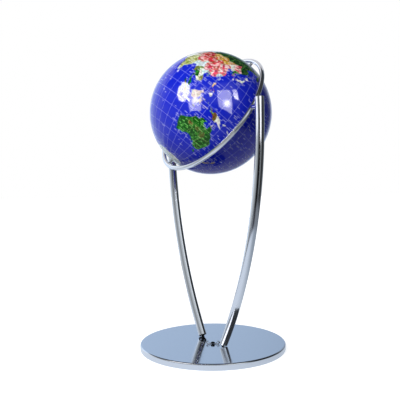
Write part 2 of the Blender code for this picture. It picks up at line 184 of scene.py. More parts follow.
# --- The map ---------------------------------------------------------------------
# Coasts as corners, each a longitude and a latitude in degrees, given with few points
COASTS = {
    "eurasia": (
        -9.2, 38.8, -9.2, 43.2, -1.8, 43.4, -1.2, 46, -4.6, 48.4, -1.5, 49.6, 2, 51, 4.5, 52.5, 8.2, 53.8,
        8.2, 57, 10.6, 57.6, 10, 54.9, 14.2, 54, 18.8, 54.6, 21.2, 55.5, 22, 57.6, 24.3, 57.4, 23.6, 59.2,
        28, 59.7, 30, 60, 25, 60.2, 21.5, 60.9, 21.5, 62.8, 25.3, 65, 22.3, 65.8, 17.5, 62.5, 18.9, 60.1,
        16.6, 57.5, 14.3, 55.5, 12.8, 55.6, 11.3, 58.9, 8, 58.1, 5.2, 59.5, 5.1, 61.8, 10.5, 64.2,
        14.5, 67.5, 19.5, 70, 25.8, 71.1, 31, 70.3, 41, 67.3, 40.5, 66.4, 34.5, 66.6, 35, 64.3, 38, 64.2,
        44, 66.2, 44, 68.3, 54, 68.5, 60.8, 69.6, 68, 68.3, 67, 70.5, 70, 73.2, 72.8, 71.5, 74, 68.5,
        77.5, 72.2, 81, 73.5, 87, 75.2, 98, 76.2, 104.3, 77.7, 113.5, 75.6, 113, 73.7, 123.5, 73,
        129.5, 71, 139.8, 72.3, 152, 71, 160, 69.7, 170.3, 69.9, 178.5, 69, 185, 67, 190.2, 66.1,
        187, 64.5, 180, 64.9, 177.5, 62.6, 170.5, 60, 163.7, 59.8, 162.2, 56.2, 159.8, 53.2, 156.7, 51,
        155.6, 55, 157, 57.8, 163, 61.7, 160, 61, 155, 59.3, 149, 59.6, 142, 59, 135.3, 54.7, 139.8, 54.2,
        141.4, 53, 140.4, 48.5, 135.5, 44, 132, 43.1, 129.7, 41, 127.5, 39.5, 129.4, 37, 129.2, 35.2,
        126.4, 34.5, 126.6, 37, 125, 38, 125.2, 39.6, 121.3, 38.9, 121.9, 40.8, 118, 39, 119, 37.3,
        122.5, 37.2, 119.4, 35, 121.9, 31.8, 121.9, 29.5, 119.6, 25.6, 116.8, 23.3, 113.6, 22.2,
        110.4, 21.2, 109.9, 20.4, 108, 21.5, 106, 19.5, 106.6, 17.8, 109.2, 13.5, 109, 11.4, 106.8, 10.3,
        105, 8.7, 104.9, 10.1, 102.5, 11.8, 101, 12.7, 100, 13.4, 99.3, 10.5, 100.3, 8.5, 102.5, 6.2,
        103.4, 4, 104.2, 1.5, 101.4, 2.8, 100.3, 5.8, 98.4, 8, 98.6, 12, 97.6, 16.4, 95.4, 15.8, 94.2, 16,
        94, 18.8, 92.3, 20.8, 91.8, 22.5, 89, 21.8, 87, 21.5, 85.5, 19.8, 82.3, 16.7, 80.2, 15.5,
        80.3, 13.2, 79.8, 10.3, 78.2, 8.9, 77.5, 8.1, 76.3, 10, 74.5, 13.9, 73, 17.5, 72.7, 21,
        70.3, 20.9, 69, 22.2, 67.3, 24.6, 61.6, 25.2, 57.3, 25.7, 56.4, 27.1, 51.5, 27.9, 50.2, 30.1,
        48, 30, 50.1, 26.6, 51.4, 24.4, 54.2, 24.2, 56.3, 26.1, 56.8, 24.2, 59.8, 22.4, 57.8, 19,
        55.2, 17.4, 52.2, 15.6, 45, 12.8, 43.3, 12.7, 42.7, 16.5, 39.1, 21.3, 36.8, 25.6, 34.9, 29.4,
        34.4, 28, 32.5, 29.9, 34.3, 31.3, 35.7, 34.5, 36.1, 36.7, 32.5, 36.1, 30.5, 36.6, 27.3, 36.8,
        26.3, 39.3, 29.1, 41.1, 33.3, 42, 38.3, 41, 41.5, 41.5, 39, 44.1, 37.5, 45.3, 38.7, 47.1,
        35, 46.2, 36.4, 45.2, 33.5, 44.5, 32.7, 46.1, 30.7, 46.3, 28.6, 43.6, 28.1, 41.7, 26.1, 40.7,
        23.6, 40.3, 24, 38, 22.9, 36.6, 21.2, 37.8, 19.5, 41.3, 15.3, 44.2, 13.7, 45.5, 12.4, 44.5,
        14, 42.6, 16.1, 41.8, 18.5, 40.1, 16.9, 40.4, 16.1, 38, 15.2, 40.2, 12.4, 41.8, 10.2, 43.8,
        8.8, 44.4, 6.2, 43.2, 3.2, 43.1, 3.1, 41.9, 0, 39.5, -0.5, 38.3, -2.2, 36.8, -5.6, 36.1,
        -6.4, 36.9, -8.9, 37.1),
    "africa": (
        -5.9, 35.8, -2, 35.1, 3, 36.9, 10, 37.3, 11, 34, 15.2, 32.4, 19.5, 30.5, 20.1, 32.6, 25, 31.6,
        29.9, 31.2, 32.4, 31.2, 34, 26.5, 37.2, 21, 38.5, 18, 43.2, 12.5, 44, 10.5, 51.2, 11.8, 47.8, 4.3,
        41.6, -1.7, 39.2, -5.5, 40.6, -14.7, 34.9, -19.9, 35.4, -23.8, 32.8, -26.5, 31.2, -29.8,
        27, -33.7, 20, -34.8, 18.3, -33.9, 15.2, -27, 14.4, -22.5, 11.8, -16.5, 13.6, -11, 12.2, -5.9,
        8.8, -0.8, 9.6, 3.8, 8.3, 4.5, 5.8, 4.3, 4.3, 6.3, 1.2, 6, -4, 5.2, -7.6, 4.4, -13.2, 8.5,
        -16.7, 12.4, -17.4, 14.7, -16.3, 19, -17, 21, -14.8, 25.8, -9.8, 29.6, -9.7, 31.5, -6.8, 34),
    "north_america": (
        -168, 65.7, -166.2, 68.3, -156.6, 71.3, -141, 69.7, -128, 70.3, -115, 68, -108, 67.9, -95.5, 68.5,
        -94.5, 71.8, -92, 69.5, -85.5, 69.5, -81.5, 69, -82, 67, -86.5, 66.3, -93.5, 61.5, -94.5, 58.8,
        -92.4, 57, -85, 55.3, -82.2, 53, -79.5, 51.4, -79, 54.5, -77, 57.5, -78, 60, -77.6, 62.4,
        -73.8, 62.3, -69.5, 60.9, -69.4, 58.9, -64.8, 60.3, -61.5, 56.5, -56, 52.8, -60, 50.2,
        -66.5, 50.2, -70.5, 47, -65, 49.2, -64.3, 46.2, -60, 46, -66.1, 43.7, -67, 44.8, -70.6, 43.1,
        -70, 41.8, -74, 40.6, -75.4, 38, -75.7, 35.3, -81.2, 31.5, -80.1, 26.8, -81.1, 25.2, -82.8, 27.8,
        -84, 30.1, -89.3, 30.2, -90.2, 29.1, -94.7, 29.4, -97.3, 27.5, -97.8, 22.5, -95.2, 18.7,
        -91.5, 18.6, -90.3, 21, -87.1, 21.5, -88.2, 17.5, -88.6, 15.8, -83.4, 15, -83.7, 11, -81.3, 8.9,
        -77.4, 8.6, -80, 7.3, -83, 8.3, -85.8, 10, -87.6, 13, -92.2, 14.5, -94.8, 16.2, -101, 17.4,
        -105.4, 20, -106.5, 23.3, -109.4, 26.2, -112.9, 31.4, -114.7, 31.6, -112, 27, -109.5, 23.1,
        -112.1, 25.5, -115, 28.5, -117.2, 32.6, -120.6, 34.6, -124.3, 40.4, -124.1, 46.2, -124.7, 48.4,
        -122.8, 49, -127.8, 51.5, -130.5, 54.5, -134.5, 58, -140, 59.8, -147, 61, -151.8, 59.3,
        -154.3, 58.2, -162, 55.2, -157.5, 58.8, -162, 58.7, -165.5, 61.5, -161, 64.4, -166.3, 64.6),
    "south_america": (
        -77.4, 8.6, -75.6, 10.6, -71.8, 12.4, -71.3, 11, -68, 11.3, -62, 10.7, -57.2, 6, -51.7, 4.2,
        -50, 0.5, -44.3, -2.7, -37, -4.9, -35, -8, -38.8, -13, -39.5, -18, -41.8, -22.8, -46.5, -24.2,
        -48.6, -27, -52.3, -32.5, -55, -34.9, -58.4, -34.2, -57, -36.6, -62.1, -38.9, -65, -41,
        -65.4, -45, -67.5, -46.3, -66, -48, -69, -51.5, -68.3, -52.9, -65.2, -54.8, -71, -54.5,
        -74.5, -51.5, -75.4, -47.5, -73, -42.5, -73.5, -37.5, -71.5, -31, -70.4, -23.5, -70.3, -18.3,
        -76.2, -13.9, -79.9, -7.5, -81.3, -4.5, -80, -2.6, -80.1, 0.5, -77.3, 4, -77.9, 7.2),
    "australia": (
        142.5, -10.7, 143.6, -14.3, 145.3, -15, 146.2, -18.9, 149, -20.4, 150.8, -23.3, 153.2, -25.9,
        153.5, -28.6, 152.5, -32.4, 150.8, -34.8, 149.9, -37.4, 146.4, -39, 144.8, -38.1, 143.5, -38.8,
        140.6, -38, 139, -35.6, 138, -33.2, 137, -35.2, 135.8, -34.8, 134.2, -32.7, 131.2, -31.5,
        126.5, -32.3, 123.9, -33.9, 119.9, -34, 118, -35, 115.1, -34.3, 115.7, -31.8, 114.1, -27.7,
        113.4, -25, 113.8, -22.5, 116.8, -20.7, 119.6, -20, 122.2, -18, 124.4, -16.2, 126, -14.2,
        129.6, -14.9, 130.8, -12.4, 132.6, -11.4, 135.2, -12.2, 136.9, -12.3, 135.9, -14.6, 137.5, -16.1,
        139.3, -17.4, 140.8, -17.5, 141.7, -15, 141.6, -12.6),
    "tasmania": (144.7, -40.7, 148.2, -40.9, 148, -43, 146.8, -43.6, 145.4, -42.5),
    "north_island": (
        172.7, -34.5, 175.3, -36.6, 178.4, -37.7, 177, -39.6, 175.3, -41.6, 175.1, -40.1, 173.8, -39.3,
        174.7, -37.8, 173.5, -35.5),
    "south_island": (
        172.7, -40.5, 174.3, -41.7, 172.8, -43.8, 170.7, -45.9, 168.8, -46.6, 166.5, -45.9, 168.4, -44,
        171.2, -42.4),
    "new_guinea": (
        131, -0.9, 134.1, -0.8, 135, -3.3, 137.8, -1.5, 141, -2.6, 144.5, -3.9, 145.8, -5.5, 147.8, -6.3,
        147.2, -7.6, 150.8, -10.3, 147.1, -9.4, 143.8, -7.7, 143, -9.2, 139, -8.1, 138, -5.7, 135.2, -4.4,
        132.9, -4, 133.8, -2.4, 132, -2.2),
    "new_britain": (148.4, -5.4, 151.8, -4.1, 152.3, -4.9, 150.2, -6.4),
    "solomons": (155, -5.6, 156, -6.6, 160.8, -9.6, 160, -10, 156.8, -8.2),
    "borneo": (
        109, 1.5, 111.4, 2.6, 113, 3.2, 115.4, 5.4, 116.8, 7, 119.2, 5.3, 117.6, 4, 118.8, 1, 116.5, -1.8,
        116.2, -3.9, 114.5, -4.1, 111.8, -3.4, 110.1, -1.5),
    "sumatra": (
        95.3, 5.6, 97.5, 5.2, 100.3, 2.7, 103.5, 0, 106, -3, 105.8, -5.8, 104.5, -5.8, 102.2, -3.8,
        100.4, -1, 98.7, 1.7, 97, 3.3),
    "java": (
        105.2, -6.8, 106.1, -5.9, 108.6, -6.7, 110.9, -6.4, 112.6, -6.9, 114.5, -7.8, 114.3, -8.7,
        110.5, -8.1, 106.5, -7.4),
    "flores": (116.8, -8.2, 119.8, -8.4, 122.8, -8.3, 120, -9, 116.8, -8.9),
    "timor": (123.6, -10.3, 125.2, -8.8, 127.2, -8.4, 125.4, -9.6),
    "sulawesi": (
        119.8, 0.8, 123.3, 1, 125.1, 1.6, 124.4, 0.4, 120.4, 0.4, 120.1, -0.9, 123.2, -0.9, 121.5, -2,
        122.5, -3.4, 122.6, -5, 121.6, -4.8, 120.9, -2.8, 120.4, -5.6, 119.5, -5.5, 118.9, -2.7,
        119.7, -0.2),
    "halmahera": (127.5, 1.9, 128.7, 1.5, 128.3, -0.8, 127.6, 0.2),
    "seram": (128, -3.1, 130.8, -3.1, 130.4, -3.8, 128.1, -3.5),
    "luzon": (
        120.6, 18.4, 122.2, 18.4, 121.6, 16, 121.6, 14.3, 124, 13, 123.8, 12.6, 122.5, 13.5, 120.7, 13.8,
        120.1, 15.8, 120.4, 17.4),
    "samar": (124.3, 12.5, 125.6, 12.2, 125.4, 10.2, 124.4, 10.8),
    "negros": (122, 11.8, 123.1, 11.4, 123.3, 9.4, 122.4, 9.6, 122, 10.6),
    "mindanao": (122, 7, 123.4, 8.6, 125.5, 9.7, 126.5, 7.5, 125.5, 5.7, 124.2, 6.4, 123.4, 7.4),
    "palawan": (117.2, 8.4, 119.5, 11.3, 119.3, 10.4),
    "taiwan": (121, 25.1, 121.9, 25, 120.9, 22, 120.1, 23.2),
    "hainan": (108.7, 19.4, 110.6, 20.1, 110.4, 18.6, 109.2, 18.3),
    "honshu": (
        130.9, 34, 133, 35.5, 136, 35.7, 136.9, 37.2, 138.8, 37.8, 140, 39.8, 141, 41.4, 141.9, 39.5,
        140.9, 37.5, 140.8, 35.7, 138.9, 34.8, 136.9, 34.3, 135.7, 33.5, 133.5, 34.4),
    "kyushu": (129.8, 33.3, 131.6, 33.6, 131.4, 31.5, 130.4, 31.2, 129.8, 32.6),
    "shikoku": (132.5, 34, 134.5, 34.2, 133.2, 32.9),
    "hokkaido": (140, 42.2, 140.4, 43.4, 141.8, 45.4, 144.3, 44, 145.4, 43.3, 143.3, 42, 141.2, 41.8),
    "sakhalin": (142.2, 54.2, 143.2, 52, 143, 49.2, 144.2, 48.9, 142.8, 46.6, 142, 46, 142, 50),
    "sri_lanka": (79.8, 8, 80.2, 9.8, 81.8, 7.5, 80.9, 6.1, 79.9, 6.7),
    "madagascar": (49.3, -12, 50.4, -15.7, 47.2, -25, 45, -25.5, 43.4, -22, 44.4, -16.2),
    "greenland": (
        -73, 78.2, -60, 82, -33, 83.5, -20, 81.5, -20, 76, -22, 72, -25, 70, -38, 65.8, -43.3, 60,
        -48.5, 61.2, -52.5, 65.5, -51, 69.5, -55, 71.5, -58.5, 75.5, -68.5, 76),
    "baffin": (-61.9, 66.6, -68, 70.5, -78, 73, -89, 73, -85, 70.2, -73, 68, -73.5, 65, -65, 62),
    "victoria": (-117, 69.8, -105, 69.2, -105, 73, -117.5, 73),
    "ellesmere": (-90, 76.5, -78, 76.5, -62, 82.4, -75, 83, -91, 81.5),
    "cuba": (-84.9, 21.9, -82, 23.1, -77, 22, -74.2, 20.2, -77.6, 19.9, -79, 21.4),
    "hispaniola": (-74.4, 18.5, -73.2, 19.9, -69.9, 19.7, -68.4, 18.6, -71.5, 17.7),
    "iceland": (-22.5, 64, -24.3, 65.5, -20.5, 66, -16.2, 66.5, -13.6, 65, -18.7, 63.4),
    "britain": (
        -5.6, 50.1, -3, 53.4, -5, 55, -6.2, 56.8, -5, 58.6, -3, 58.6, -2, 57.5, -1.2, 54.6, 0.3, 53,
        1.7, 52.6, 1.3, 51.2),
    "ireland": (-10.2, 52, -9.8, 54.2, -7.3, 55.3, -5.6, 54.5, -6.4, 52.2),
    "svalbard": (12, 78.5, 20, 80.3, 26, 80, 17, 76.6),
    "novaya_zemlya": (52, 71, 57, 70.7, 60, 74, 68.5, 76.7, 62, 76.2, 55, 73.8),
}
INLAND_SEA = (
    47, 44.5, 51, 47, 53, 45.3, 50.8, 44.5, 53, 41.8, 53.9, 37, 50.3, 37.5, 49.3, 40.5, 47.5, 43)
SOUTHERN_COAST = (
    -180, -78, -160, -78.3, -150, -76.5, -130, -74.5, -110, -74.8, -100, -72.5, -85, -73, -75, -72,
    -67, -68, -57.5, -63.3, -53, -68, -49, -74.5, -40, -78, -28, -76.5, -10, -71, 10, -70, 35, -69,
    50, -66.5, 70, -70, 80, -67.5, 100, -66, 115, -66.7, 130, -66, 145, -67, 158, -69.5, 165, -74,
    172, -78, 180, -78)

# Stones: colour, vein colour, chips per metre, share of veins, share of chips in the vein colour
STONES = {
    "deep_green": ((0.004, 0.036, 0.006), (0.02, 0.1, 0.018), 420, 0.3, 0.1),
    "leaf_green": ((0.001, 0.068, 0.002), (0.04, 0.45, 0.02), 360, 0.08, 0.1),
    "sienna": ((0.06, 0.08, 0.008), (0.11, 0.15, 0.02), 230, 0.3, 0.2),
    "olive": ((0.11, 0.12, 0.016), (0.25, 0.23, 0.05), 300, 0.4, 0.2),
    "red_brown": ((0.15, 0.04, 0.01), (0.25, 0.13, 0.03), 230, 0.3, 0.2),
    "crimson": ((0.56, 0.005, 0.03), (1, 0.56, 0.56), 210, 0.06, 0.16),
    "rose": ((0.64, 0.016, 0.065), (1, 0.7, 0.72), 210, 0.08, 0.2),
    "blush": ((0.74, 0.06, 0.13), (1, 0.8, 0.8), 210, 0.08, 0.24),
    "amber": ((0.52, 0.17, 0.008), (0.9, 0.64, 0.16), 230, 0.2, 0.25),
    "straw": ((0.26, 0.3, 0.02), (0.76, 0.78, 0.4), 230, 0.2, 0.3),
    "pearl": ((0.7, 0.72, 0.69), (0.96, 0.95, 0.9), 300, 0.35, 0.3),
    "snow": ((0.86, 0.92, 0.98), (0.96, 0.98, 1), 420, 0.35, 0.2),
    "ice": ((0.42, 0.6, 0.68), (0.9, 0.96, 0.98), 300, 0.3, 0.3),
    "violet": ((0.24, 0.07, 0.3), (0.48, 0.3, 0.52), 300, 0.3, 0.25),
    "sand": ((0.36, 0.25, 0.23), (0.64, 0.52, 0.47), 300, 0.3, 0.3),
    "slate": ((0.055, 0.08, 0.15), (0.18, 0.22, 0.33), 420, 0.4, 0.2),
}
DARK_STONE = "deep_green"
GREEN_STONES = ("leaf_green", "sienna", "red_brown", "olive")

# The countries of each stone, by the longitudes and latitudes of their middles
COUNTRIES = {
    "deep_green": (
        40, 58, 52, 62, 64, 63, 78, 62, 92, 61, 106, 61, 120, 61, 134, 61, 148, 64, 162, 65, 176, 66,
        88, 54, 104, 54, 118, 54.5, 132, 51.5, 136, 46, 143, 50, 158, 55, 60, 74, -66, 4, -8, 8, 17, 78),
    "leaf_green": (
        102, 4.5, 122, -26, 134, -18, 135, -30, 143, -22, 146, -32, 144.5, -37, 146.5, -42, 101, 16,
        127.5, 38.3, -52, -10, 24, 2, 10, 51, -96, 40, 35, 39, -18, 65, 20, 42),
    "olive": (96, 21, 120.5, -9, 15, -12, -102, 24, -72, 8, 3, 47),
    "red_brown": (136.5, -4.6, 101, 0, 12, 28, -4, 40, -64, -17, 44, 33),
    "crimson": (83, 42, 89, 35, 97, 36, 104, 36, -100, 53, 46, 24),
    "rose": (103, 29, 110, 34, 116, 38, 126, 45, 88, 31, 27, -29, -64, -34, 2, 28),
    "blush": (111, 26, 117, 30, 125, 49, 131.5, 46, 30, 28, -74, -10, 19, 64),
    "amber": (97, 47, 106, 46.5, 112, 47, 121, 17, 6, 15, -70, -40, 44, 64),
    "straw": (107.5, 13.5, 78, 26, 73, 25, 83, 24, 78, 19, 77, 14.5, -110, 44, 36, -5, -3, 54),
    "pearl": (
        103, 18.5, 120, 42.5, 104.5, 12, 139, 36.5, 131, 32.5, 143, 43.3, 144.5, -6.3, 80.8, 7.5,
        110, -7.3, 125, 7.7, 150, -5.5, 158, -8, 69, 30),
    "snow": (-42, 73, 0, -84, 60, -75, 120, -75, -120, -80, -60, -78),
    "ice": (91, 24, 94.5, 25.5, 105.5, 20, 121, 23.6, 67, 48, -60, -26, -77, 45),
    "violet": (123, 11.5, 128.5, 36, 54, 32, 31, 14, -77, 40, 9, 61, 47, -19),
    "sand": (113, -0.5, 115, 4, 121.5, -2, 174.5, -39, 171, -43.5, 66, 39, -150, 65, 10, 6, 25, 49),
    "slate": (129, -3.4, 128, 1, 109.5, 19, -112, 60, 22, -22, 40, 8, -79, 22),
}

# Smaller stones set inside one country, as outlines
BLOCKS = {
    "red_brown": (
        (122.8, -20.6, 126, -21.4, 129.2, -21, 128.2, -23.2, 124.6, -24, 123.6, -22.4),),
    "sienna": (
        (130.6, -20.4, 134, -21.2, 137, -20.6, 136.2, -24.2, 132.6, -23.2),
        (138.6, -22.8, 142.6, -21.6, 144.2, -24.6, 141, -26.8, 138.2, -25.4)),
}


# --- Small helpers ---------------------------------------------------------------
def unit(vectors):
    """Vectors scaled to length 1."""
    vectors = np.asarray(vectors, float)
    return vectors / np.maximum(np.linalg.norm(vectors, axis=-1, keepdims=True), 1e-12)


def toward(azimuth, elevation):
    """A direction given by its turn from the front side and its height, in degrees."""
    turn, rise = FRONT + radians(azimuth), radians(elevation)
    return Vector((sin(turn) * cos(rise), -cos(turn) * cos(rise), sin(rise)))


def aimed(place, direction, axis="Z", up="Y"):
    """The matrix of a place whose axis is turned to a direction."""
    return Matrix.Translation(place) @ direction.to_track_quat(axis, up).to_matrix().to_4x4()


def linked(name, data):
    """A new object in the scene."""
    item = bpy.data.objects.new(name, data)
    bpy.context.scene.collection.objects.link(item)
    return item


def new_piece(name, vertices, faces, materials, slots=None, place=None, sharp_from=None):
    """A mesh object, shaded smooth, with its materials."""
    mesh = bpy.data.meshes.new(name)
    mesh.from_pydata(
        np.asarray(vertices, float).tolist(), [], [[int(i) for i in face] for face in faces])
    if place is not None:
        mesh.transform(place)
    for material in materials:
        mesh.materials.append(material)
    if slots is not None:
        mesh.polygons.foreach_set("material_index", np.asarray(slots, np.int32))
    mesh.validate()
    mesh.update()
    mesh.shade_smooth()
    if sharp_from is not None:
        mesh.set_sharp_from_angle(angle=radians(sharp_from))
    return linked(name, mesh)


def settle(piece, body, slot, *nodes):
    """Put a finished piece on its body, in place of the plain solids."""
    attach(piece, body)
    if nodes:
        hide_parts(*nodes)


def add_metal(name, body, slot, node, form, place=None, sharp_from=None):
    """A metal piece from its vertices and faces, settled on its body."""
    piece = new_piece(name, *form, [metal_material(slot)], None, place, sharp_from)
    settle(piece, body, slot, node)


def loft(stations, sides, closed=False):
    """Rings of vertices, and the faces between each ring and the next.

    A station is the middle of a ring and its two half axes; without width it is one vertex.
    """
    turns = 2 * pi * np.arange(sides) / sides
    vertices, rings, faces = [], [], []
    for middle, first, second in stations:
        ring = np.array([middle], float)
        if np.any(first):
            ring = ring + np.outer(np.cos(turns), first) + np.outer(np.sin(turns), second)
        rings.append(range(len(vertices), len(vertices) + len(ring)))
        vertices.extend(ring)
    if closed:
        rings.append(rings[0])
    for upper, lower in zip(rings[:-1], rings[1:]):
        for index in range(max(len(upper), len(lower))):
            after = (index + 1) % sides
            if len(upper) == 1:
                faces.append((upper[0], lower[index], lower[after]))
            elif len(lower) == 1:
                faces.append((upper[index], lower[0], upper[after]))
            else:
                faces.append((upper[index], lower[index], lower[after], upper[after]))
    return vertices, faces


def revolve(profile, steps):
    """A turned form about Z from (radius, height) points; radius 0 closes an end."""
    return loft([((0, 0, height), (radius, 0, 0), (0, radius, 0)) for radius, height in profile], steps)


def arc(radius, edge, height, start, end, count=5):
    """Points of a round corner in a half profile, between two angles in degrees."""
    angles = np.radians(np.linspace(start, end, count))
    return [(radius + edge * cos(angle), height + edge * sin(angle)) for angle in angles]


def rod_profile(radius, top, bottom, edge, flat, count=5):
    """The half profile of a round bar with rounded ends and a flat strip beside each edge."""
    inner = radius - edge
    return [
        (0.0, top), (inner - flat, top), *arc(inner, edge, top - edge, 90, 0, count),
        (radius, top - edge - flat), (radius, bottom + edge + flat),
        *arc(inner, edge, bottom + edge, 0, -90, count), (inner - flat, bottom), (0.0, bottom)]


def sweep(points, radius, sides):
    """A round wire through points, with its sections turned as little as possible."""
    stations = []
    normal = (points[1] - points[0]).orthogonal()
    for before, point, after in zip([points[0], *points], points, [*points[1:], points[-1]]):
        tangent = (after - before).normalized()
        normal = (normal - tangent * normal.dot(tangent)).normalized()
        stations.append((point, normal * radius, tangent.cross(normal) * radius))
    bulge = 0.6 * radius
    none = (0, 0, 0)
    start = points[0] - (points[1] - points[0]).normalized() * bulge
    end = points[-1] + tangent * bulge
    return loft([(start, none, none), *stations, (end, none, none)], sides)


# --- Shader nodes ----------------------------------------------------------------
def add_node(tree, kind, inputs=None, **settings):
    """A node with its settings, its input values and its links in one call."""
    node = tree.nodes.new(kind)
    node.location = (220 * (len(tree.nodes) % 12), -260 * (len(tree.nodes) // 12))
    for key, value in settings.items():
        setattr(node, key, value)
    for key, value in (inputs or {}).items():
        if isinstance(value, bpy.types.NodeSocket):
            tree.links.new(value, node.inputs[key])
        else:
            node.inputs[key].default_value = value
    return node


def output(tree, kind, inputs=None, **settings):
    """The first output of a new node."""
    return add_node(tree, kind, inputs, **settings).outputs[0]


def math_node(tree, operation, *values):
    """The result of one sum on values or sockets."""
    return output(tree, "ShaderNodeMath", dict(enumerate(values)), operation=operation)


def mix_colours(tree, share, first, second, blend="MIX"):
    """A blend of two colours by a share."""
    return add_node(
        tree, "ShaderNodeMix", {0: share, 6: first, 7: second}, data_type="RGBA",
        blend_type=blend, clamp_factor=True).outputs[2]


def smooth_step(tree, value, low, high):
    """0 below low, 1 above high, and a soft step between them."""
    return output(
        tree, "ShaderNodeMapRange", {"Value": value, "From Min": low, "From Max": high},
        interpolation_type="SMOOTHSTEP")


def opaque(colour):
    return (*colour, 1.0)


def grey(tone):
    return (tone, tone, tone, 1.0)


def shared_group(name, inputs, fill):
    """A shader node group with named inputs and outputs, made once."""
    group = bpy.data.node_groups.get(name)
    if group:
        return group
    group = bpy.data.node_groups.new(name, "ShaderNodeTree")

    def add_socket(label, way, is_colour):
        kind = "NodeSocketColor" if is_colour else "NodeSocketFloat"
        return group.interface.new_socket(label, in_out=way, socket_type=kind)

    for label, default in inputs.items():
        add_socket(label, "INPUT", isinstance(default, tuple)).default_value = default
    given = add_node(group, "NodeGroupInput").outputs
    made = fill(group, given, output_place(group))
    for label in made:
        add_socket(label, "OUTPUT", label == "Colour")
    add_node(group, "NodeGroupOutput", made)
    return group


def output_place(tree, kind="Object"):
    """Texture coordinates."""
    return add_node(tree, "ShaderNodeTexCoord").outputs[kind]


def polish(group, given, place):
    """Polished metal: hairline marks and a faint haze where hands have been."""
    smear = output(
        group, "ShaderNodeTexNoise",
        {"Vector": place, "Scale": given["Scale"], "Detail": 4.0, "Roughness": 0.6})
    patch = smooth_step(group, smear, 0.45, 0.80)
    stretched = output(group, "ShaderNodeMapping", {"Vector": place, "Scale": (1.0, 1.0, 12.0)})
    hairlines = output(
        group, "ShaderNodeTexNoise", {"Vector": stretched, "Scale": 260.0, "Detail": 2.0})
    added = math_node(group, "MULTIPLY", patch, given["Haze"])
    return {
        "Colour": mix_colours(group, patch, given["Colour"], given["Haze Colour"]),
        "Roughness": math_node(group, "ADD", given["Roughness"], added),
        "Height": hairlines}


def set_stone(group, given, place):
    """Cut stone set in resin: chips of differing tone, with veins and a polished face."""
    chips = add_node(
        group, "ShaderNodeTexVoronoi", {"Vector": place, "Scale": given["Chip Scale"]})
    tone = add_node(group, "ShaderNodeSeparateColor", {"Color": chips.outputs["Color"]}).outputs
    centred = math_node(group, "SUBTRACT", tone["Red"], 0.5)
    gain = math_node(group, "MULTIPLY_ADD", centred, given["Tone Spread"], 1.0)
    bright = output(
        group, "ShaderNodeVectorMath", {0: given["Colour"], "Scale": gain}, operation="SCALE")
    veins = output(
        group, "ShaderNodeTexNoise",
        {"Vector": place, "Scale": 120.0, "Detail": 5.0, "Roughness": 0.70, "Distortion": 1.6})
    ridge = math_node(group, "ABSOLUTE", math_node(group, "SUBTRACT", veins, 0.5))
    line = smooth_step(group, ridge, 0.070, 0.015)
    share = math_node(group, "MULTIPLY", line, given["Vein Share"])
    pale = math_node(group, "LESS_THAN", tone["Blue"], given["Pale Share"])
    share = math_node(group, "MAXIMUM", share, pale)
    return {
        "Colour": mix_colours(group, share, bright, given["Vein Colour"]),
        "Roughness": math_node(group, "MULTIPLY_ADD", veins, 0.05, 0.03),
        "Height": tone["Green"]}


def grouped_material(name, group, values, metallic, ior, bump):
    """A Principled material fed by one of the shared groups."""
    material = bpy.data.materials.get(name)
    if material:
        return material
    material = bpy.data.materials.new(name)
    material.use_nodes = True
    tree = material.node_tree
    shader = tree.nodes["Principled BSDF"].inputs
    source = add_node(tree, "ShaderNodeGroup", values, node_tree=group).outputs
    normal = output(
        tree, "ShaderNodeBump", {"Height": source["Height"], "Strength": 1.0, "Distance": bump})
    tree.links.new(source["Colour"], shader["Base Color"])
    tree.links.new(source["Roughness"], shader["Roughness"])
    tree.links.new(normal, shader["Normal"])
    shader["Metallic"].default_value = metallic
    shader["IOR"].default_value = ior
    material.diffuse_color = values["Colour"]
    return material


def metal_material(name):
    """The polished chrome, or the dark steel of the screws."""
    stand = bpy.context.scene.floor_globe_stand
    colour, haze, roughness, spread, scale, bump = {
        "chrome": (
            stand.chrome_colour, [0.94 * channel for channel in stand.chrome_colour],
            stand.chrome_roughness, 0.035, 24.0, 0.0000015),
        "dark_steel": (stand.dark_colour, (0.05, 0.04, 0.035), 0.28, 0.2, 160.0, 0.00002)}[name]
    group = shared_group(
        "Polished metal",
        {"Colour": grey(0.7), "Haze Colour": grey(0.6), "Roughness": 0.04, "Haze": 0.05,
         "Scale": 30.0}, polish)
    return grouped_material(
        name, group,
        {"Colour": opaque(colour), "Haze Colour": opaque(haze), "Roughness": roughness,
         "Haze": spread, "Scale": scale}, 1.0, 1.5, bump)


def inlay_material(name, colour, vein, chips, veins, spread, pale=0.0, bump=0.0000005):
    """Set stone of a colour with veins and chips."""
    group = shared_group(
        "Set stone",
        {"Colour": grey(0.5), "Vein Colour": grey(0.8), "Chip Scale": 400.0, "Vein Share": 0.4,
         "Tone Spread": 0.35, "Pale Share": 0.0}, set_stone)
    return grouped_material(
        name, group,
        {"Colour": opaque(colour), "Vein Colour": opaque(vein), "Chip Scale": float(chips),
         "Vein Share": veins, "Tone Spread": spread, "Pale Share": pale}, 0.0, RESIN_IOR, bump)


# --- The stand -------------------------------------------------------------------
def make_base(settings):
    """The heavy disc, polished on top and on its rim, with rounded edges."""
    profile = rod_profile(settings.base_radius, BASE_TOP, 0.0, settings.base_edge, BASE_FLAT, 13)
    add_metal("base", "stand", "chrome", "base_disc", revolve(profile, BASE_STEPS))


def leg_point(lean):
    """The leg's centre line, as distance from the middle and height, where it has this lean."""
    return (
        LEG_SPREAD - LEG_ARC_RADIUS + LEG_ARC_RADIUS * cos(lean),
        LEG_ARC_HEIGHT - LEG_ARC_RADIUS * sin(lean))


def leg_lean(height):
    """The lean of the leg's centre line at a height."""
    return asin((LEG_ARC_HEIGHT - height) / LEG_ARC_RADIUS)


def leg_foot_lean():
    """The lean at the foot, where the square-cut end's outer edge stands on the base."""
    slope = LEG_RADIUS / LEG_ARC_RADIUS
    return leg_lean((BASE_TOP + GAP + slope * LEG_ARC_HEIGHT) / (1.0 + slope))


